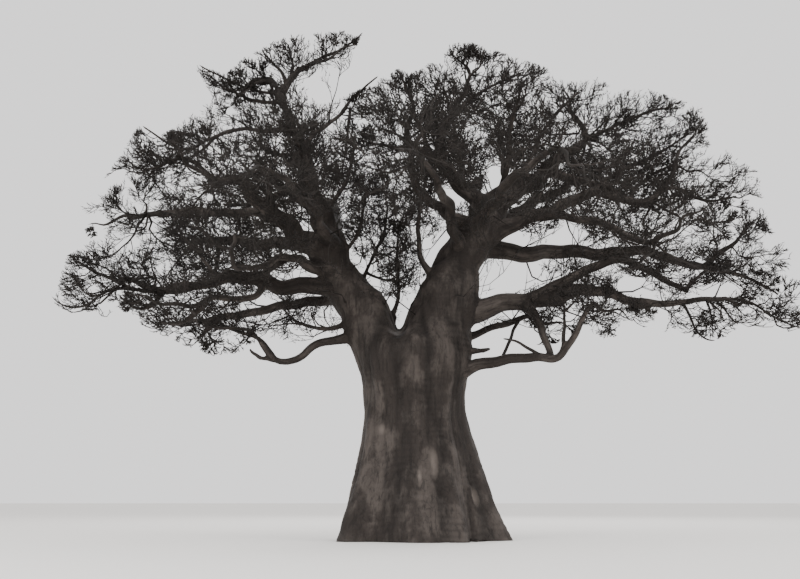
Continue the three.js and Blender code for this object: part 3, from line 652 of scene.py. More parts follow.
def dress_in_bark(piece, limbs, with_trunk, rounds):
    """Softens the joins of a fused skin, gives it the bark's relief and keeps where
    each point lies in it"""
    mesh = piece.data
    points = read_points(mesh)
    edges = np.empty(len(mesh.edges) * 2, dtype=int)
    mesh.edges.foreach_get("vertices", edges)
    edges = edges.reshape(-1, 2)
    radius = read_bark(points, limbs, with_trunk)[2]
    points = soften(points, edges, SOFTENING * np.clip(radius / SOFTENED_RADIUS, LEAST_SOFTENED, 1), rounds)
    if with_trunk:
        near_fork = np.exp(-((points[:, 2] - FORK_HEIGHT) / SHOULDER_REACH) ** 2)
        on_face = np.clip((np.abs(points[:, 1]) - SHOULDER_DEPTH) / SHOULDER_DEPTH, 0, 1)
        points = soften(points, edges, SHOULDER_SOFTENING * near_fork * on_face, SHOULDER_ROUNDS)
        away = (points[:, (0, 2)] - CROTCH_PLACE) / CROTCH_SIZE
        points[:, 2] -= CROTCH_DROP * np.exp(-np.hypot(away[:, 0], away[:, 1]) ** 2)
    mesh.vertices.foreach_set("co", points.ravel())
    mesh.update()
    run, angle, radius, number, other = read_bark(points, limbs, with_trunk)
    roots = [WAIST_RADIUS] * with_trunk + [limb["girth"][0] / 2 for limb in limbs]
    counts = np.clip(np.round(np.array(roots) * FLUTES), FEWEST_FLUTES, MOST_FLUTES)
    height, painted_shade, scar, spot = bark_relief(points, run, angle, radius, number, other, counts, with_trunk)
    points += read_points(mesh, "normal") * height[:, None]
    mesh.vertices.foreach_set("co", points.ravel())
    mesh.update()
    add_attribute(mesh, "bark_place", "FLOAT_VECTOR", spot)
    # The painted shade in flute valleys, ring grooves and creases, by which the bark's colour darkens
    add_attribute(mesh, "painted_shade", "FLOAT", painted_shade)
    add_attribute(mesh, "scar", "FLOAT", scar)
    mesh.polygons.foreach_set("use_smooth", [True] * len(mesh.polygons))


def cut_at_ground(piece):
    """Cuts a piece off flat at ground level and closes the cut"""
    body = bmesh.new()
    body.from_mesh(piece.data)
    bmesh.ops.bisect_plane(body, geom=body.verts[:] + body.edges[:] + body.faces[:],
                           plane_co=(0, 0, 0), plane_no=(0, 0, 1), clear_inner=True)
    rim = [edge for edge in body.edges if edge.is_boundary]
    floor = bmesh.ops.contextual_create(body, geom=rim)["faces"]
    bmesh.ops.recalc_face_normals(body, faces=body.faces)
    for face in floor:
        face.smooth = False
    body.to_mesh(piece.data)
    body.free()


def collar_tube(limb):
    """The root of a bough, from inside what carries it out to its collar's end"""
    root = limb["girth"][0]
    end = (limb["buried"] + COLLAR_REACH * root) / limb["run"]
    start = limb["buried"] * ROOT_START / limb["run"]

    def fit(share):
        return COLLAR_FULL - (COLLAR_FULL - COLLAR_END) * ((share - start) / (end - start)) ** 2

    return limb_tube(limb, start, end, fit)


stems = [LIMBS["stem_left"], LIMBS["stem_right"]]
carried = [limb for name, limb in LIMBS.items()
           if limb["parent"] in ("trunk", "stem_left", "stem_right") and not name.startswith("stem")]
tubes = [trunk_tube()]
tubes += [limb_tube(stem, sides=STEM_SIDES) for stem in stems]
tubes += [collar_tube(limb) for limb in carried]
trunk = fuse("trunk_and_stems", tubes, STEM_SKIN)
dress_in_bark(trunk, stems + carried, True, TRUNK_ROUNDS)
cut_at_ground(trunk)

# The bark's masks, which are patches, clouds, streaks and grain: how each is
# squeezed along the limb, its scale, the noise at which it starts and is full, and
# its detail
BARK_MASKS = (
    (0.7, 1.1, 0.44, 0.60, 4.0),
    (0.6, 3.2, 0.42, 0.66, 4.0),
    (0.14, 9.0, 0.50, 0.68, 4.0),
    (0.35, 30.0, 0.25, 0.75, 6.0),
)
MASK_ROUGHNESS = 0.6
# Fine cracks: how they are squeezed, their scale and their width
CRACKS = (0.45, 9.0, 0.09)
# The painted shade in folds, ring grooves and creases at which the bark starts to darken and where it is
# darkest
PAINTED_SHADE_RANGE = (0.12, 0.75)
# How strongly clouds, streaks, cracks and the painted shade of folds cover what lies under them
COVERS = (0.45, 0.55, 0.5, 0.75)
# The bark's roughness, and what grain and patches add to it
BARK_ROUGHNESS = 0.80
ROUGHENING = (0.16, -0.10)
# How far grain, cracks, streaks and clouds stand out in it
BUMPS = (0.35, -0.8, -0.35, 0.5)


def add_node(tree, kind, sockets=None, **settings):
    """A shader node with its settings and its sockets' values or links"""
    node = tree.nodes.new(kind)
    for name, value in settings.items():
        setattr(node, name, value)
    for name, value in (sockets or {}).items():
        if isinstance(value, bpy.types.NodeSocket):
            tree.links.new(value, node.inputs[name])
        else:
            node.inputs[name].default_value = value
    return node


def noise_mask(tree, place, squeeze, scale, low, high, detail):
    """A soft mask from noise stretched along the limb"""
    moved = add_node(tree, "ShaderNodeMapping", {"Vector": place, "Scale": (1, 1, squeeze)})
    cloud = add_node(tree, "ShaderNodeTexNoise", {"Vector": moved.outputs[0], "Scale": scale,
                                                  "Detail": detail, "Roughness": MASK_ROUGHNESS})
    ramp = add_node(tree, "ShaderNodeMapRange", {"Value": cloud.outputs[0], "From Min": low,
                                                 "From Max": high})
    ramp.interpolation_type = "SMOOTHSTEP"
    return ramp.outputs[0]


def mix_colour(tree, amount, base, top):
    """One colour laid over another by a mask"""
    mix = add_node(tree, "ShaderNodeMix", data_type="RGBA")
    for socket, value in ((mix.inputs[0], amount), (mix.inputs[6], base), (mix.inputs[7], top)):
        if isinstance(value, bpy.types.NodeSocket):
            tree.links.new(value, socket)
        else:
            socket.default_value = value
    return mix.outputs[2]


def combine(tree, operation, first, second):
    """One sum or product of two masks"""
    return add_node(tree, "ShaderNodeMath", {0: first, 1: second}, operation=operation).outputs[0]


def sum_up(tree, masks, weights):
    """The sum of masks, each times its weight"""
    parts = [combine(tree, "MULTIPLY", mask, weight) for mask, weight in zip(masks, weights)]
    total = parts[0]
    for part in parts[1:]:
        total = combine(tree, "ADD", total, part)
    return total


def make_bark_group():
    """Weathered bark: patches, streaks, fine cracks and grain from a place on it, darkened by painted shade
    in its folds
    """
    tree = bpy.data.node_groups.new("weathered_bark_and_painted_shade", "ShaderNodeTree")
    inputs = {"Place": "Vector", "Painted_Shade": "Float", "Pale": "Color", "Main": "Color", "Dark": "Color"}
    outputs = {"Color": "Color", "Roughness": "Float", "Height": "Float"}
    for way, sockets in (("INPUT", inputs), ("OUTPUT", outputs)):
        for name, kind in sockets.items():
            tree.interface.new_socket(name, in_out=way, socket_type="NodeSocket" + kind)
    entry = add_node(tree, "NodeGroupInput")
    place, painted_shade, pale, main, dark = (entry.outputs[name] for name in inputs)
    patches, clouds, streaks, grain = (noise_mask(tree, place, *mask) for mask in BARK_MASKS)
    squeeze, scale, width = CRACKS
    moved = add_node(tree, "ShaderNodeMapping", {"Vector": place, "Scale": (1, 1, squeeze)})
    cells = add_node(tree, "ShaderNodeTexVoronoi", {"Vector": moved.outputs[0], "Scale": scale},
                     feature="DISTANCE_TO_EDGE")
    edges = {"From Min": 0.0, "From Max": width, "To Min": 1.0, "To Max": 0.0}
    cracks = add_node(tree, "ShaderNodeMapRange", {"Value": cells.outputs["Distance"], **edges}).outputs[0]
    cracks = combine(tree, "MULTIPLY", cracks, clouds)
    # Painted shade: the bark darkens in its folds, ring grooves and creases
    shade_start, shade_full = PAINTED_SHADE_RANGE
    fold_shade_mask = add_node(tree, "ShaderNodeMapRange", {"Value": painted_shade, "From Min": shade_start,
                                                 "From Max": shade_full}).outputs[0]
    colour = mix_colour(tree, patches, main, pale)
    for mask, share, top in zip((clouds, streaks, cracks, fold_shade_mask), COVERS, (main, dark, dark, dark)):
        colour = mix_colour(tree, combine(tree, "MULTIPLY", mask, share), colour, top)
    roughness = combine(tree, "ADD", sum_up(tree, (grain, patches), ROUGHENING), BARK_ROUGHNESS)
    height = sum_up(tree, (grain, cracks, streaks, clouds), BUMPS)
    leave = add_node(tree, "NodeGroupOutput")
    for name, value in (("Color", colour), ("Roughness", roughness), ("Height", height)):
        tree.links.new(value, leave.inputs[name])
    return tree


# The bark's own grey-brown, darkened far below its real tone to near black: partly its colour, partly painted
# shade of a tree standing against the light
BARK_TONE_AND_SHADE = {
    "Pale": (0.066, 0.054, 0.047, 1),
    "Main": (0.029, 0.023, 0.020, 1),
    "Dark": (0.008, 0.006, 0.005, 1),
}
# The pale wood of healed scars, and how strongly it covers the bark
SCAR_WOOD = (0.16, 0.135, 0.118, 1)
SCAR_COVER = 0.7
# The strength and the distance of the bump
BARK_BUMP = (0.9, 0.012)
BARK_SPECULAR = 0.3

bark_group = make_bark_group()


def read_attribute(tree, name, output):
    """What a piece's mesh keeps under a name at each point"""
    return add_node(tree, "ShaderNodeAttribute", attribute_name=name).outputs[output]


def make_bark(name, colours, bump, is_scarred):
    """A bark in the colours given. The trunk's and boughs' is also darkened by painted shade in its
    folds, ring grooves and creases, and pale where old wounds have healed over."""
    material = bpy.data.materials.new(name)
    material.use_nodes = True
    tree = material.node_tree
    surface = tree.nodes["Principled BSDF"]
    place = read_attribute(tree, "bark_place", "Vector")
    bark = add_node(tree, "ShaderNodeGroup", {"Place": place, **colours}, node_tree=bark_group)
    colour = bark.outputs["Color"]
    if is_scarred:
        tree.links.new(read_attribute(tree, "painted_shade", "Fac"), bark.inputs["Painted_Shade"])
        healed = combine(tree, "MULTIPLY", read_attribute(tree, "scar", "Fac"), SCAR_COVER)
        colour = mix_colour(tree, healed, colour, SCAR_WOOD)
    bumped = add_node(tree, "ShaderNodeBump", {"Height": bark.outputs["Height"], "Strength": bump[0],
                                               "Distance": bump[1]})
    tree.links.new(colour, surface.inputs["Base Color"])
    tree.links.new(bark.outputs["Roughness"], surface.inputs["Roughness"])
    tree.links.new(bumped.outputs[0], surface.inputs["Normal"])
    surface.inputs["Specular IOR Level"].default_value = BARK_SPECULAR
    return material


bark_material = make_bark("bark", BARK_TONE_AND_SHADE, BARK_BUMP, True)
trunk.data.materials.append(bark_material)
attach(trunk, "root")
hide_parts("trunk", "stem_left", "stem_right")


# Boughs
# The boughs are tapering limbs of the same wood. Each grows out of a stem, or
# out of another bough, through a swollen collar and ends where its twigs begin.
BOUGH_SKIN = 0.045
BOUGH_ROUNDS = 6
# Where a bough starts in its parent's wood, beside its buried run, and how far it
# is drawn in over the last of its own run
BOUGH_START = 0.4
BOUGH_END = 0.90
BOUGH_DRAWN_IN = 0.03
# Under this girth a limb's own tube, drawn with the twigs, takes over, and one that
# is stout for less than this run has that tube alone
SLIM_GIRTH = 0.13
SLIM_RUN = 0.4
GIRTH_STEPS = 100


def stout_share(limb):
    """The share of a limb's run over which it is stout enough for the boughs' skin"""
    shares = np.linspace(0, 1, GIRTH_STEPS + 1)
    slim = 2 * limb_radius(limb, shares) < SLIM_GIRTH
    return float(shares[np.argmax(slim)]) if slim.any() else 1.0


def is_stout(limb):
    """Whether enough of a limb is stout for it to be fused with the boughs"""
    return stout_share(limb) * limb["run"] > limb["buried"] + SLIM_RUN


def bough_tube(limb):
    """A bough from inside its parent to where it grows slim, drawn in a little there"""
    start = limb["buried"] * BOUGH_START / limb["run"]
    end = stout_share(limb)

    def fit(share):
        past = (share - (1 - BOUGH_DRAWN_IN) * end) / (BOUGH_DRAWN_IN * end)
        return 1 - (1 - BOUGH_END) * max(0, past)

    return limb_tube(limb, start, end, fit)


# The boughs come in two pieces, the left of the crown and the right, and the names
# of the left one's limbs begin so
ON_THE_LEFT = ("bough_left", "left", "tuft", "fork", "front_left", "rear_left")
bough_groups = {
    "boughs_left": [name for name in LIMBS if name.startswith(ON_THE_LEFT)],
    "boughs_right": [name for name in LIMBS if not name.startswith(ON_THE_LEFT + ("stem",))],
}
for group, names in bough_groups.items():
    limbs = [LIMBS[name] for name in names if is_stout(LIMBS[name])]
    boughs = fuse(group, [bough_tube(limb) for limb in limbs], BOUGH_SKIN)
    dress_in_bark(boughs, limbs, False, BOUGH_ROUNDS)
    boughs.data.materials.append(bark_material)
    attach(boughs, "root")
    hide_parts(*(name for name in names if name.startswith("bough")))

# Twigs
# The crown is bare. Each bough and great stem ends in a spray of twigs of young
# wood, which fork again and again within the reach of their spray. The twigs
# are thin and grey-brown, and grow out of the wood that carries them.

# The sprays, by the limb that carries each: its heart, how far it reaches from
# there, and how many first twigs it has where they aren't the usual number
SPRAYS = {
    "bough_left_crest": ((-3.4, 0, 17.05), (2.1, 1.8, 1.2), 10),
    "stem_left": ((-6.2, 0.3, 16.1), (1.8, 1.7, 1.2)),
    "bough_left_top": ((-8, 1.5, 13.95), (2.5, 2.6, 1.6), 5),
    "bough_left_inner": ((-2.5, 0.9, 14.3), (2.1, 2.3, 2), 6),
    "bough_left_high": ((-7, -3.8, 11.9), (2.6, 2.6, 1.9), 7),
    "bough_left_long": ((-10.3, 1.2, 11.5), (2.45, 2.6, 1.95)),
    "bough_left_back": ((-8.9, 5.3, 11.4), (3, 2.8, 2.1), 7),
    "bough_left_near": ((-5.6, -6.4, 9.3), (2.6, 2.5, 1.5), 6),
    "bough_left_broad": ((-10, -1.7, 8.7), (2.75, 2.6, 1.5)),
    "bough_left_under": ((-7.9, -3.9, 7.6), (1.8, 1.9, 1.2), 4),
    "bough_left_low": ((-8.5, 4, 8.05), (2, 2.3, 1.2), 5),
    "bough_left_swoop": ((-6.5, -2.3, 7), (1.3, 1.4, 1.1)),
    "bough_left_front": ((-4.8, -8.1, 11), (3.2, 2.7, 1.9)),
    "bough_left_rear": ((-4.3, 8.1, 13.7), (3.5, 2.8, 2.2)),
    "stem_right": ((6.3, 2.3, 15.2), (3.2, 3, 2)),
    "bough_right_crown": ((-0.2, 1.4, 15.4), (2.2, 2.7, 2), 10),
    "bough_right_peak": ((1.9, 0.2, 16.1), (2.6, 2.5, 1.7), 12),
    "bough_right_inner": ((0.1, -4.3, 13), (2.7, 2.6, 2)),
    "bough_right_back": ((8.2, 7, 13.7), (3.1, 2.9, 2.3), 7),
    "bough_right_long": ((8.9, -0.4, 12.6), (2.6, 2.9, 2.5), 10),
    "bough_right_near": ((7.8, -5.5, 9.6), (2.7, 2.6, 1.6)),
    "bough_right_broad": ((11.2, 1.4, 10.3), (2.7, 2.7, 2.1), 12),
    "bough_right_low": ((10.9, -1.7, 7.9), (2.6, 2.5, 1.4), 12),
    "bough_right_under": ((4.5, 0.9, 7.7), (1.5, 1.7, 0.9)),
    "bough_right_swoop": ((5.9, -4.1, 7.45), (1.8, 1.9, 1.2)),
    "bough_right_front": ((4.4, -8.1, 11.3), (3.3, 2.7, 1.9)),
    "bough_right_rear": ((2.8, 8.1, 14.3), (3.4, 2.8, 2.2), 7),
    "bough_middle_front": ((-0.3, -8.5, 11.4), (2.7, 2.6, 1.9)),
    "bough_centre": ((-0.4, 0.1, 12.2), (1.6, 1.9, 1.7)),
}
MASSES = {name: dict(zip(("heart", "reach", "first"), row)) for name, row in SPRAYS.items()}
# How far a spray's first twigs keep clear of the next spray, in reaches, and how
# far its finest may cross into it
MASS_MARGIN = 0.06
FINE_MARGIN = -0.10

# Openings in the crown through which the sky shows from the viewpoint: middle
# and half sizes along X and Z in the upright plane through the trunk
OPEN_SKY = (
    (0.63, 10.1, 0.58, 0.72), (1.24, 12.1, 0.7, 0.7), (2.98, 12.8, 0.65, 0.8), (5.25, 10.6, 1.15, 0.42),
    (3.43, 9.1, 1.15, 0.7), (7.65, 8.8, 0.9, 0.42), (10.7, 8.7, 0.85, 0.32), (3.35, 7.05, 1.3, 0.56),
    (-5.2, 8.25, 0.8, 0.33), (-4.05, 8.9, 0.6, 0.33),
)
SKY_EDGE = 0.66
# The crown's outline in the same plane, past which no twig grows
OUTLINE = (
    (-12.6, 8.5), (-12.3, 9.8), (-11.5, 10.4), (-12.2, 11.4), (-11.6, 11.8), (-10.4, 13.7),
    (-9.9, 14.6), (-9.4, 14.1), (-8.6, 14.5),
    (-7.3, 15.6), (-8, 16.9), (-6.8, 16.5), (-6.2, 17.1), (-5.3, 17.6), (-4.6, 18), (-1.8, 18.2),
    (-2.3, 17), (-4, 15.8), (-3.4, 15.4), (-2.5, 15.7), (-1.8, 16), (-0.6, 16.7),
    (-0.2, 16.5), (0.5, 16.9), (0.9, 16.9), (1, 17.6), (2, 17.7), (4.9, 16.7),
    (5.4, 16.2), (6.7, 16.4), (7.1, 15.9), (8.2, 16), (10.4, 15.2), (10.6, 13.6), (11.1, 13.7),
    (12.2, 12.9), (12.5, 10.9), (13.6, 9.8), (13.5, 7.2), (12.2, 7.5), (9.8, 6.6), (7.2, 7.6),
    (7, 6.9), (6.3, 6.4), (5.6, 6.4), (0.8, 4.1), (-1.2, 4.8), (-2.2, 6.5), (-5, 5.8), (-5.8, 6.4),
    (-7.1, 6.3), (-9.6, 7.3), (-9.7, 7.8), (-12.1, 7.9), (-12.7, 8.1),
)
# How far twig tips may stray past it
OUTLINE_EASE = 1.005

# How twigs branch. A spray has one stem, its first twigs leave the stem for
# points spread over the shell of its reach, and side twigs leave those, and so on.
# The stem: its radius beside its limb's tip; the knee on its way to the heart and
# the bend round it; how it thins from the bend, past the knee and the heart, to its
# tip; how deep it sits in its limb; and its small crooks
STEM_FIT = 0.96
STEM_KNEE = 0.30
STEM_BEND = 0.30
STEM_THINNING = (1, 0.88, 0.66, 0.12)
STEM_SOCKET = 0.12
STEM_RINGS = 18
STEM_TUBE_SIDES = 10
STEM_CROOK = 0.16
STEM_CROOKS = 3.2
SHORTEST = 0.01
# The first twigs: how many, the slant at which they leave the stem, where along it
# the first and the last start, their radius beside the stem's, how slim they are
# for it, and how near they come to the shell of their spray's reach
FIRST_TWIGS = 8
FIRST_SLANT = math.tan(math.radians(52))
FIRST_STARTS = (0.06, 0.90)
FIRST_RADIUS = 0.68
FIRST_SLIM = 0.75
SHELL = 0.96
# The side twigs: where along a twig the first and the last start, how their lengths
# vary, how they pull outwards, and the turn and share that space them evenly
SIDE_STARTS = (0.28, 0.92)
LENGTH_SPREAD = (0.8, 1.2)
OUTWARD_PULL = 0.50
GOLDEN_TURN = math.pi * (3 - math.sqrt(5))
GOLDEN_SHARE = (math.sqrt(5) - 1) / 2
# A twig without room is tried again this much shorter. A first one is probed for
# room at so many places. Clearance is what it keeps from the bark of any limb.
TRIES = 3
SHORTER = 0.82
FIRST_PROBES = 10
CLEARANCE = 0.03
# What turns a key into its draws and its children's keys
MASK = 0xffffffff
SLOT_STEP = 0x9e3779b1
SCRAMBLE = ((16, 0x85ebca6b), (13, 0xc2b2ae35))
LAST_SHIFT = 16
CHILD_TIMES = 1664525
CHILD_STEP = 1013904223
TREE_KEY = np.array([7], dtype="u8")
# The first slots of the draws that bend a twig, and the slot and size of the one
# that shifts it on the bark's pattern
BOW_SLOT, SWAY_SLOT, KINK_SLOT = 20, 23, 26
PATTERN_SLOT = 30
PATTERN_SHIFT = 40
# Each later fork: side twigs to a twig, their radius beside the local one, how
# many places along a twig are tried for room, their angles in degrees, their
# length beside their twig's near its foot and its tip, and their upward pull
FORKS = (
    (9, 0.55, 8, (38, 62), (0.68, 0.46), 0.15),
    (9, 0.64, 4, (38, 68), (0.60, 0.46), 0.16),
    (5, 0.85, 2, (35, 70), (0.38, 0.28), 0.12),
)
# The least radius of a twig's foot, the least of its tip beside that, how a twig
# tapers to its point, and how far inside the solids' box all twigs stay
FINEST = 0.015
FINEST_TIP = 0.8
TWIG_TAPER = 1.1
TWIG_POINT = 0.16
BOX_MARGIN = 0.03
# Sides and stretches of a twig's mesh, from the first twigs to the finest
TWIG_MESH = ((6, 8), (4, 5), (3, 3), (3, 1))
# The tilt that gives an upright twig a direction across it too
LEVEL_TILT = 0.01
# How far a twig sags, bows to one side, sways in one wave and kinks in finer ones
SAG = 0.13
BOW = 0.20
SWAY = 0.15
KINK = 0.09

# What is known of each twig, and the pieces the twigs are kept in, each with the
# main limbs whose twigs it holds
TWIG = np.dtype([("foot", "f8", 3), ("tip", "f8", 3), ("radius", "f8"), ("key", "u8"),
                 ("bow", "f8", 3), ("sway", "f8", 3), ("kink", "f8", 3)])
TWIG_PIECES = {
    "twigs_left_outer": ("bough_left_high", "bough_left_long", "bough_left_broad", "bough_left_under",
                         "bough_left_low", "bough_left_swoop"),
    "twigs_left_deep": ("bough_left_back", "bough_left_near", "bough_left_rear", "bough_left_front"),
    "twigs_left_top": ("stem_left", "bough_left_crest", "bough_left_top", "bough_left_inner"),
    "twigs_middle": ("bough_centre", "bough_middle_front", "bough_right_crown", "bough_right_peak",
                     "bough_right_inner"),
    "twigs_right_outer": ("bough_right_long", "bough_right_broad", "bough_right_low", "bough_right_under",
                          "bough_right_arch", "bough_right_swoop"),
    "twigs_right_deep": ("stem_right", "bough_right_back", "bough_right_near", "bough_right_front",
                         "bough_right_rear"),
}


def draw(key, slot):
    """The same number from 0 to 1 for the same key and slot"""
    bits = key ^ ((np.array(slot, dtype="u8", ndmin=1) + 1) * SLOT_STEP & MASK)
    for shift, times in SCRAMBLE:
        bits = (bits ^ (bits >> shift)) * times & MASK
    return (bits ^ (bits >> LAST_SHIFT)) / (MASK + 1.0)


def child_key(key, order):
    """The key of a twig's child"""
    return (key * CHILD_TIMES + (np.array(order, dtype="u8", ndmin=1) + 1) * CHILD_STEP) & MASK


def between(pair, share):
    """The value at a share of the way from one value to another"""
    return pair[0] + (pair[1] - pair[0]) * share


def unit(vectors):
    """Vectors at length one"""
    return vectors / np.linalg.norm(vectors, axis=-1, keepdims=True)


def reach_to(mass, points):
    """How far points are from a heart, in reaches"""
    return np.linalg.norm((points - mass["heart"]) / mass["reach"], axis=-1)


def in_own_space(mass, points, margin):
    """Whether points are in a spray's own part of the crown"""
    own = reach_to(mass, points)
    keeps = (own < 1) & (points[..., 2] > mass.get("floor", 0))
    for other in mass["near"]:
        keeps &= reach_to(other, points) > own + margin
    return keeps & (points > BOX_LOW).all(axis=-1) & (points < BOX_HIGH).all(axis=-1)


def seen_at(points):
    """Where points are seen in the upright plane through the trunk"""
    scale = -EYE[1] / (points[..., 1] - EYE[1])
    return EYE[0] + (points[..., 0] - EYE[0]) * scale, EYE[2] + (points[..., 2] - EYE[2]) * scale


def in_outline(points):
    """Whether points are seen inside the crown's outline"""
    across, up = seen_at(points)
    across, up = across / OUTLINE_EASE, (up - WAIST_HEIGHT) / OUTLINE_EASE + WAIST_HEIGHT
    inside = np.zeros(across.shape, bool)
    for (x, z), (next_x, next_z) in zip(OUTLINE, OUTLINE[1:] + OUTLINE[:1]):
        if z != next_z:
            edge = x + (next_x - x) * (up - z) / (next_z - z)
            inside ^= ((z > up) != (next_z > up)) & (across < edge)
    return inside


def in_open_sky(points):
    """Whether points lie in front of or behind an opening in the crown"""
    across, up = seen_at(points)
    inside = np.zeros(across.shape, bool)
    for middle_x, middle_z, half_width, half_height in OPEN_SKY:
        inside |= np.hypot((across - middle_x) / half_width, (up - middle_z) / half_height) < SKY_EDGE
    return inside


def touches_limb(mass, points, radius):
    """Whether points come within a hand's breadth of the bark of a limb"""
    touches = np.zeros(len(points), bool)
    for limb in mass["limbs"]:
        margin = limb["girth"][0] + CLEARANCE
        low, high = limb["line"].min(axis=0) - margin, limb["line"].max(axis=0) + margin
        close = np.flatnonzero(((points > low) & (points < high)).all(axis=1) & ~touches)
        if not len(close):
            continue
        starts = limb["line"][:-2:2]
        spans = limb["line"][2::2] - starts
        offset = points[close][:, None] - starts
        place = np.clip(np.einsum("ijk,jk->ij", offset, spans) / np.einsum("jk,jk->j", spans, spans), 0, 1)
        away = np.linalg.norm(offset - place[..., None] * spans, axis=2)
        bark = limb_radius(limb, (np.arange(len(spans)) + place) * 2 / LINE_STEPS)
        touches[close[(away < bark + radius[close][:, None] + CLEARANCE).any(axis=1)]] = True
    return touches


def grow_twigs(mass, foot, heading, length, radius, key, probes, margin):
    """Twigs along their headings, each shortened a few times until it has room,
    and left out after that"""
    tip = foot + heading * length[:, None]
    grown = np.zeros(len(foot), bool)
    for attempt in range(min(TRIES, probes)):
        waiting = np.flatnonzero(~grown)
        start = foot[waiting]
        reach = heading[waiting] * (length[waiting] * SHORTER ** attempt)[:, None]
        room = ~in_open_sky(start + reach) & ~in_open_sky(start + reach / 2) & in_outline(start + reach)
        for probe in range(1, probes + 1):
            point = start + reach * (probe / probes)
            room &= in_own_space(mass, point, margin)
            room[room] &= ~touches_limb(mass, point[room], radius[waiting][room])
        tip[waiting[room]] = (start + reach)[room]
        grown[waiting[room]] = True
    twigs = np.zeros(grown.sum(), TWIG)
    for name, values in (("foot", foot), ("tip", tip), ("radius", radius), ("key", key)):
        twigs[name] = values[grown]
    run = np.linalg.norm(twigs["tip"] - twigs["foot"], axis=1)[:, None]
    for name, slot, amount in (("bow", BOW_SLOT, BOW), ("sway", SWAY_SLOT, SWAY), ("kink", KINK_SLOT, KINK)):
        aside = [draw(twigs["key"], slot + axis) - 0.5 for axis in range(3)]
        twigs[name] = run * amount * np.stack(aside, axis=1)
    twigs["bow"][:, 2] -= run[:, 0] * SAG
    return twigs


def place_on(twigs, share):
    """Points on bent twigs: one row of shares for each twig"""
    share = share[..., None]
    line = twigs["foot"][:, None] + (twigs["tip"] - twigs["foot"])[:, None] * share
    line += twigs["bow"][:, None] * 4 * share * (1 - share)
    return line + (twigs["sway"][:, None] * np.sin(2 * np.pi * share)
                   + twigs["kink"][:, None] * np.sin(5 * np.pi * share))


def thickness(twigs, share):
    """The radius of twigs at shares of their length"""
    fit = TWIG_POINT + (1 - TWIG_POINT) * (1 - share) ** TWIG_TAPER
    return np.maximum(twigs["radius"][:, None] * fit, FINEST * FINEST_TIP)


def across_of(heading):
    """Two directions across each heading"""
    side = np.stack([-heading[:, 1], heading[:, 0], np.full(len(heading), LEVEL_TILT)], axis=1)
    side -= heading * np.einsum("ij,ij->i", side, heading)[:, None]
    side = unit(side)
    return side, np.cross(heading, side)


def grow_stem(mass, limb):
    """A spray's stem: out of its limb's tip, round a knee, and through the heart"""
    heading = heading_at(limb, 1.0)
    foot = limb["line"][-1]
    heart = mass["heart"]
    knee = foot + heading * np.linalg.norm(heart - foot) * STEM_KNEE
    lead = unit(heart - knee)
    radius = float(limb_radius(limb, 1.0)) * STEM_FIT
    beyond = SHELL / np.linalg.norm(lead / mass["reach"])
    far = grow_twigs(mass, heart[None], lead[None], np.array([beyond]), np.array([radius]), np.zeros(1, "u8"),
                     FIRST_PROBES, MASS_MARGIN)
    tip = far["tip"][0] if len(far) else heart + lead * radius
    across = np.cross(lead, draw(mass["key"], range(3)) - 0.5)
    return {"foot": foot, "knee": knee, "heart": heart, "tip": tip, "heading": heading, "lead": lead,
            "radius": radius, "bend": np.linalg.norm(heart - foot) * STEM_BEND,
            "aside": across / np.linalg.norm(across) * STEM_CROOK}


def stem_point(stem, distance):
    """The points on a stem at distances from its knee, along a rounded bend"""
    past = np.clip(distance, stem["bend"], None)
    run = np.linalg.norm(stem["tip"] - stem["knee"])
    crooked = np.sin(np.pi * (past - stem["bend"]) / max(run - stem["bend"], SHORTEST))
    aside = crooked[..., None] * (stem["aside"] * np.sin(past * STEM_CROOKS)[..., None])
    straight = stem["knee"] + stem["lead"] * past[..., None] + aside
    turn = np.clip((distance / stem["bend"] + 1) / 2, 0, 1)[..., None]
    start = stem["knee"] - stem["heading"] * stem["bend"]
    end = stem["knee"] + stem["lead"] * stem["bend"]
    bent = (1 - turn) ** 2 * start + 2 * turn * (1 - turn) * stem["knee"] + turn ** 2 * end
    return np.where((distance < stem["bend"])[..., None], bent, straight)


def stem_radius(stem, distance):
    """A stem's radius at distances from its knee"""
    heart = np.linalg.norm(stem["heart"] - stem["knee"])
    tip = heart + np.linalg.norm(stem["tip"] - stem["heart"])
    return stem["radius"] * np.interp(distance, (-stem["bend"], 0, heart, tip), STEM_THINNING)


def first_twigs(mass, stem, key):
    """The first twigs leave the stem at one slant, each for its own point of the shell"""
    count = mass.get("first", FIRST_TWIGS)
    order = np.arange(count)
    level = 1 - (2 * order + 1) / count
    turn = draw(key, 0) * 2 * np.pi + order * GOLDEN_TURN
    level_run = np.sqrt(1 - level ** 2)
    aim = np.stack([level_run * np.cos(turn), level_run * np.sin(turn), level], axis=1)
    target = stem["heart"] + aim * mass["reach"] * SHELL
    ahead = target - stem["knee"]
    along = ahead @ stem["lead"]
    aside = np.linalg.norm(ahead - along[:, None] * stem["lead"], axis=1)
    run = np.linalg.norm(stem["tip"] - stem["knee"])
    start = np.clip(along - aside / FIRST_SLANT, FIRST_STARTS[0] * run, FIRST_STARTS[1] * run)
    foot = stem_point(stem, start)
    length = np.linalg.norm(target - foot, axis=1)
    radius = stem_radius(stem, start) * FIRST_RADIUS * FIRST_SLIM
    return grow_twigs(mass, foot, unit(target - foot), length, radius, child_key(key, order),
                      FIRST_PROBES, MASS_MARGIN)


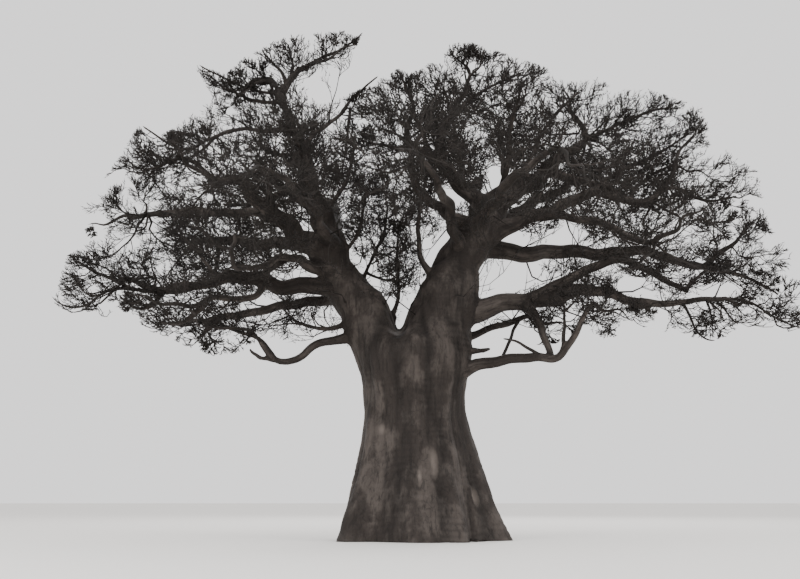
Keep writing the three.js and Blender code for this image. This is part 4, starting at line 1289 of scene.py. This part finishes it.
def side_twigs(mass, parents, fork, margin):
    """Side twigs leave a twig at a wide angle, turned round it by the golden angle,
    and bend outwards from the heart and a little upwards"""
    count, fit, probes, angles, lengths, upward = fork
    order = np.arange(count)
    key = parents["key"][:, None]
    share = between(SIDE_STARTS, (draw(key, 0) + order * GOLDEN_SHARE) % 1)
    turn = 2 * np.pi * draw(key, 1) + order * GOLDEN_TURN
    angle = np.radians(between(angles, draw(key, 3 * order + 2)))
    chord = parents["tip"] - parents["foot"]
    ahead = unit(chord)
    side, up = across_of(ahead)
    foot = place_on(parents, share)
    heading = (ahead[:, None] * np.cos(angle)[..., None]
               + side[:, None] * (np.sin(angle) * np.cos(turn))[..., None]
               + up[:, None] * (np.sin(angle) * np.sin(turn))[..., None])
    heading += (foot - mass["heart"]) / mass["reach"] * OUTWARD_PULL
    heading[..., 2] += upward
    length = (np.linalg.norm(chord, axis=1)[:, None] * between(lengths, share)
              * between(LENGTH_SPREAD, draw(key, 3 * order + 3)))
    radius = np.maximum(thickness(parents, share) * fit, FINEST)
    key = child_key(key, order)
    return grow_twigs(mass, foot.reshape(-1, 3), unit(heading).reshape(-1, 3), length.ravel(),
                      radius.ravel(), key.ravel(), probes, margin)


def tube_points(path, radii, side, up, sides):
    """Rings round paths with a last point at each tip, and the triangles between
    them. Paths come as one row of places for each twig."""
    count, places = radii.shape
    turn = 2 * np.pi * np.arange(sides) / sides
    round_x, round_y = np.cos(turn), np.sin(turn)
    rings = path[:, :-1, None] + radii[:, :-1, None, None] * (
        side[:, None, None] * round_x[:, None] + up[:, None, None] * round_y[:, None])
    points = np.concatenate([rings.reshape(count, (places - 1) * sides, 3), path[:, -1:]], axis=1)
    across = np.stack([radii[:, :-1, None] * round_x, radii[:, :-1, None] * round_y], axis=-1)
    corner = np.arange(sides)
    beside = (corner + 1) % sides
    faces = [np.stack([np.zeros(sides - 2, int), corner[2:], corner[1:-1]], axis=1)]
    for ring in range(places - 2):
        low, high = ring * sides, (ring + 1) * sides
        faces.append(np.stack([low + corner, low + beside, high + beside], axis=1))
        faces.append(np.stack([low + corner, high + beside, high + corner], axis=1))
    last = (places - 2) * sides
    faces.append(np.stack([last + corner, last + beside, np.full(sides, last + sides)], axis=1))
    faces = np.concatenate(faces)
    offset = np.arange(count) * points.shape[1]
    return points.reshape(-1, 3), (faces[None] + offset[:, None, None]).reshape(-1, 3), across


def twig_tubes(twigs, sides, stretches):
    """Pointed tubes along twigs, with their places on the bark"""
    share = np.broadcast_to(np.linspace(0, 1, stretches + 1), (len(twigs), stretches + 1))
    side, up = across_of(unit(twigs["tip"] - twigs["foot"]))
    points, faces, across = tube_points(place_on(twigs, share), thickness(twigs, share), side, up, sides)
    run = np.linalg.norm(twigs["tip"] - twigs["foot"], axis=1)[:, None] * share
    return points, faces, bark_places(across, run, twigs["key"])


def bark_places(across, run, key):
    """Where each point of pointed tubes lies on the bark"""
    shift = draw(key, PATTERN_SLOT) * PATTERN_SHIFT
    count, rings, sides = across.shape[:3]
    along = np.broadcast_to(run[:, :-1, None, None], (count, rings, sides, 1))
    ringed = np.concatenate([across, along], axis=3)
    apex = np.stack([np.zeros(count), np.zeros(count), run[:, -1]], axis=1)[:, None]
    places = np.concatenate([ringed.reshape(count, rings * sides, 3), apex], axis=1)
    return (places + shift[:, None, None]).reshape(-1, 3)


def stem_tube(stem, key):
    """A spray's stem as one pointed tube that starts inside its limb's tip"""
    run = np.linalg.norm(stem["tip"] - stem["knee"])
    back = np.linalg.norm(stem["knee"] - stem["foot"])
    distance = np.linspace(-back - STEM_SOCKET, run, STEM_RINGS)
    straight = stem["knee"] + stem["heading"] * distance[:, None]
    path = np.where((distance < -stem["bend"])[:, None], straight, stem_point(stem, distance))
    radii = stem_radius(stem, distance)
    side, up = across_of(unit(stem["tip"] - stem["foot"])[None])
    points, faces, across = tube_points(path[None], radii[None], side, up, STEM_TUBE_SIDES)
    return points, faces, bark_places(across, distance[None] - distance[0], key)


BOX_LOW = np.array(cad_box[0]) + BOX_MARGIN
BOX_HIGH = np.array(cad_box[1]) - BOX_MARGIN


def limbs_near(low, high):
    """The limbs that come into a box or near it"""
    return [limb for limb in LIMBS.values()
            if (limb["line"].min(axis=0) < high).all() and (limb["line"].max(axis=0) > low).all()]


for number, mass in enumerate(MASSES.values()):
    mass["heart"] = np.array(mass["heart"])
    mass["reach"] = np.array(mass["reach"])
    mass["key"] = child_key(TREE_KEY, number)
for mass in MASSES.values():
    mass["near"] = [other for other in MASSES.values() if other is not mass
                    and (np.abs(other["heart"] - mass["heart"]) < other["reach"] + mass["reach"]).all()]
    room = mass["reach"] + 1
    mass["limbs"] = limbs_near(mass["heart"] - room, mass["heart"] + room)


# Twigs along the limbs: the crown they keep to, and the height under which none
# grows; their spacing on main limbs and lesser boughs; the run from the bark and
# the share of the whole that they keep to; their slant in degrees, their length on
# main limbs and lesser boughs, and their radius; how much oftener they are small
# than large; how deep they sit; their upward and outward pull; and how near another
# limb lies where it may be in their way
CROWN = {"heart": np.array((0.3, 0, 7.2)), "reach": np.array((14.0, 11.0, 12.5)), "floor": 7.0, "near": ()}
LIMB_TWIG_GAP = 0.34
LESSER_TWIG_GAP = 0.15
LIMB_TWIG_CLEAR = 0.35
LIMB_TWIG_END = 0.98
LIMB_TWIG_SLANT = (45, 80)
LIMB_TWIG_LENGTH = (0.8, 2.6)
LESSER_TWIG_LENGTH = (0.35, 1.6)
LIMB_TWIG_RADIUS = (0.016, 0.040)
LIMB_TWIG_SMALL = 1.3
LIMB_TWIG_SOCKET = 0.85
LIMB_TWIG_RISE = 0.30
LIMB_TWIG_PULL = 0.80
LIMB_TWIG_ROOM = 4.0
# Where the keys of limbs and of their slim ends begin, how many draws a limb keeps
# for each of its twigs, and the slot of the draw that turns them
LIMB_KEYS = 100
SLIM_KEYS = 300
DRAWS = 5
TURN_SLOT = 500
# A lesser bough's slim end reaches back so far into its stout part
SLIM_OVERLAP = 0.15
SLIM_SIDES = 8
# The forks of these twigs, in the same columns as those of the sprays
LIMB_FORKS = (
    (6, 0.62, 4, (38, 66), (0.66, 0.44), 0.18),
    (5, 0.70, 2, (36, 68), (0.54, 0.38), 0.16),
    (3, 0.85, 1, (35, 70), (0.42, 0.30), 0.12),
)


def carrier_of(name):
    """The main limb that carries a lesser bough, or the limb itself"""
    while name in LESSER_BOUGHS:
        name = LIMBS[name]["parent"]
    return name


def grow_spray(name):
    """All twigs of a spray as tubes: its stem, its first twigs and each later fork"""
    mass = MASSES[name]
    stem = grow_stem(mass, LIMBS[name])
    parts = [stem_tube(stem, mass["key"])]
    twigs = first_twigs(mass, stem, mass["key"])
    parts.append(twig_tubes(twigs, *TWIG_MESH[0]))
    for level, fork in enumerate(FORKS):
        twigs = side_twigs(mass, twigs, fork, MASS_MARGIN if level == 0 else FINE_MARGIN)
        parts.append(twig_tubes(twigs, *TWIG_MESH[level + 1]))
    return parts


def limb_twigs(name):
    """Twigs that leave a limb along its run, all round it but rising, from just
    inside its bark"""
    limb = LIMBS[name]
    key = child_key(TREE_KEY, LIMB_KEYS + list(LIMBS).index(name))
    start = (limb["buried"] + LIMB_TWIG_CLEAR) / limb["run"]
    gap, lengths = LIMB_TWIG_GAP, LIMB_TWIG_LENGTH
    if name in LESSER_BOUGHS:
        gap, lengths = LESSER_TWIG_GAP, LESSER_TWIG_LENGTH
    count = max(0, int((LIMB_TWIG_END - start) * limb["run"] / gap))
    order = np.arange(count)
    share = start + (LIMB_TWIG_END - start) * (order + draw(key, DRAWS * order)) / max(1, count)
    ahead = line_heading(limb, share)
    side, up = across_of(ahead)
    turn = 2 * np.pi * draw(key, TURN_SLOT) + order * GOLDEN_TURN
    out = side * np.cos(turn)[:, None] + up * np.sin(turn)[:, None]
    foot = point_on(limb["line"], share) + out * (limb_radius(limb, share) * LIMB_TWIG_SOCKET)[:, None]
    slant = np.radians(between(LIMB_TWIG_SLANT, draw(key, DRAWS * order + 1)))
    heading = ahead * np.cos(slant)[:, None] + out * np.sin(slant)[:, None]
    heading += (foot - CROWN["heart"]) / CROWN["reach"] * LIMB_TWIG_PULL
    heading[:, 2] += LIMB_TWIG_RISE
    size = draw(key, DRAWS * order + 2) ** LIMB_TWIG_SMALL
    length = between(lengths, size) + limb_radius(limb, share)
    radius = between(LIMB_TWIG_RADIUS, size)
    low, high = limb["line"].min(axis=0) - LIMB_TWIG_ROOM, limb["line"].max(axis=0) + LIMB_TWIG_ROOM
    space = dict(CROWN, limbs=[other for other in limbs_near(low, high) if other is not limb])
    twigs = grow_twigs(space, foot, unit(heading), length, radius, child_key(key, order), FIRST_PROBES, 0)
    return space, twigs


def slim_tube(name):
    """The slim end of a lesser bough as a pointed tube, from inside its stout part"""
    limb = LIMBS[name]
    start = stout_share(limb) - SLIM_OVERLAP / limb["run"] if is_stout(limb) else 0.0
    shares = np.linspace(max(0.0, start), 1, LINE_STEPS)
    path = point_on(limb["line"], shares)
    side, up = across_of(unit(path[-1] - path[0])[None])
    points, faces, across = tube_points(path[None], limb_radius(limb, shares)[None], side, up, SLIM_SIDES)
    key = child_key(TREE_KEY, SLIM_KEYS + list(LIMBS).index(name))
    return points, faces, bark_places(across, (shares - shares[0])[None] * limb["run"], key)


def grow_limb_twigs(name):
    """A limb's own twigs with their side twigs as tubes, and its slim end if it has one"""
    space, twigs = limb_twigs(name)
    parts = [twig_tubes(twigs, *TWIG_MESH[1])]
    if stout_share(LIMBS[name]) < 1:
        parts.append(slim_tube(name))
    for level, fork in enumerate(LIMB_FORKS):
        twigs = side_twigs(space, twigs, fork, 0)
        parts.append(twig_tubes(twigs, *TWIG_MESH[min(level + 2, len(TWIG_MESH) - 1)]))
    return parts


# The twigs' own grey-brown, darkened far below its real tone to near black: partly their colour, partly
# painted shade of a crown standing against the light
TWIG_TONE_AND_SHADE = {
    "Pale": (0.030, 0.024, 0.021, 1),
    "Main": (0.016, 0.013, 0.011, 1),
    "Dark": (0.006, 0.005, 0.004, 1),
}
TWIG_BUMP = (0.7, 0.004)

twig_material = make_bark("twig_bark", TWIG_TONE_AND_SHADE, TWIG_BUMP, False)
for piece_name, carriers in TWIG_PIECES.items():
    sprays = [name for name in carriers if name in MASSES]
    parts = [part for name in sprays for part in grow_spray(name)]
    parts += [part for name in LIMBS if carrier_of(name) in carriers for part in grow_limb_twigs(name)]
    offsets = np.cumsum([0] + [len(part[0]) for part in parts])
    points = np.concatenate([part[0] for part in parts])
    faces = np.concatenate([part[1] + offset for part, offset in zip(parts, offsets)])
    mesh = bpy.data.meshes.new(piece_name)
    mesh.from_pydata(points, [], faces)
    mesh.polygons.foreach_set("use_smooth", [True] * len(mesh.polygons))
    add_attribute(mesh, "bark_place", "FLOAT_VECTOR", np.concatenate([part[2] for part in parts]))
    mesh.materials.append(twig_material)
    spray = bpy.data.objects.new(piece_name, mesh)
    bpy.context.collection.objects.link(spray)
    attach(spray, "root")
    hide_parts(*(name.replace("bough", "twigs").replace("stem", "twigs_stem") for name in sprays))

# Ground and light
# A plain pale floor at ground level, and soft light from a large lamp on each
# side and from the sky all round.
FLOOR_SIZE = 160.0
FLOOR_DROP = 0.004
FLOOR_COLOUR = (0.80, 0.78, 0.75, 1)
FLOOR_ROUGHNESS = 0.95
SKY_COLOUR = (0.93, 0.92, 0.92, 1)
SKY_STRENGTH = 1.5

floor_mesh = bmesh.new()
bmesh.ops.create_grid(floor_mesh, x_segments=1, y_segments=1, size=FLOOR_SIZE)
floor_data = bpy.data.meshes.new("floor")
floor_mesh.to_mesh(floor_data)
floor_mesh.free()
floor = bpy.data.objects.new("floor", floor_data)
floor_material = bpy.data.materials.new("floor")
floor_material.use_nodes = True
floor_surface = floor_material.node_tree.nodes["Principled BSDF"]
floor_surface.inputs["Base Color"].default_value = FLOOR_COLOUR
floor_surface.inputs["Roughness"].default_value = FLOOR_ROUGHNESS
floor_data.materials.append(floor_material)
floor.location = (0, 0, -FLOOR_DROP)
bpy.context.collection.objects.link(floor)

# Lamps: place, size, power; and the point they all shine at
LAMPS = (((-26, -30, 26), 18, 11000), ((30, -22, 20), 18, 6000), ((6, 34, 30), 20, 8000))
LAMP_AIM = Vector((0, 0, 8))
for number, (place, size, power) in enumerate(LAMPS):
    lamp_data = bpy.data.lights.new(f"lamp_{number}", "AREA")
    lamp_data.size = size
    lamp_data.energy = power
    lamp = bpy.data.objects.new(f"lamp_{number}", lamp_data)
    lamp.location = place
    lamp.rotation_euler = (LAMP_AIM - Vector(place)).to_track_quat("-Z", "Y").to_euler()
    bpy.context.collection.objects.link(lamp)

sky = bpy.data.worlds.new("sky")
sky.use_nodes = True
background = sky.node_tree.nodes["Background"]
background.inputs["Color"].default_value = SKY_COLOUR
background.inputs["Strength"].default_value = SKY_STRENGTH
bpy.context.scene.world = sky
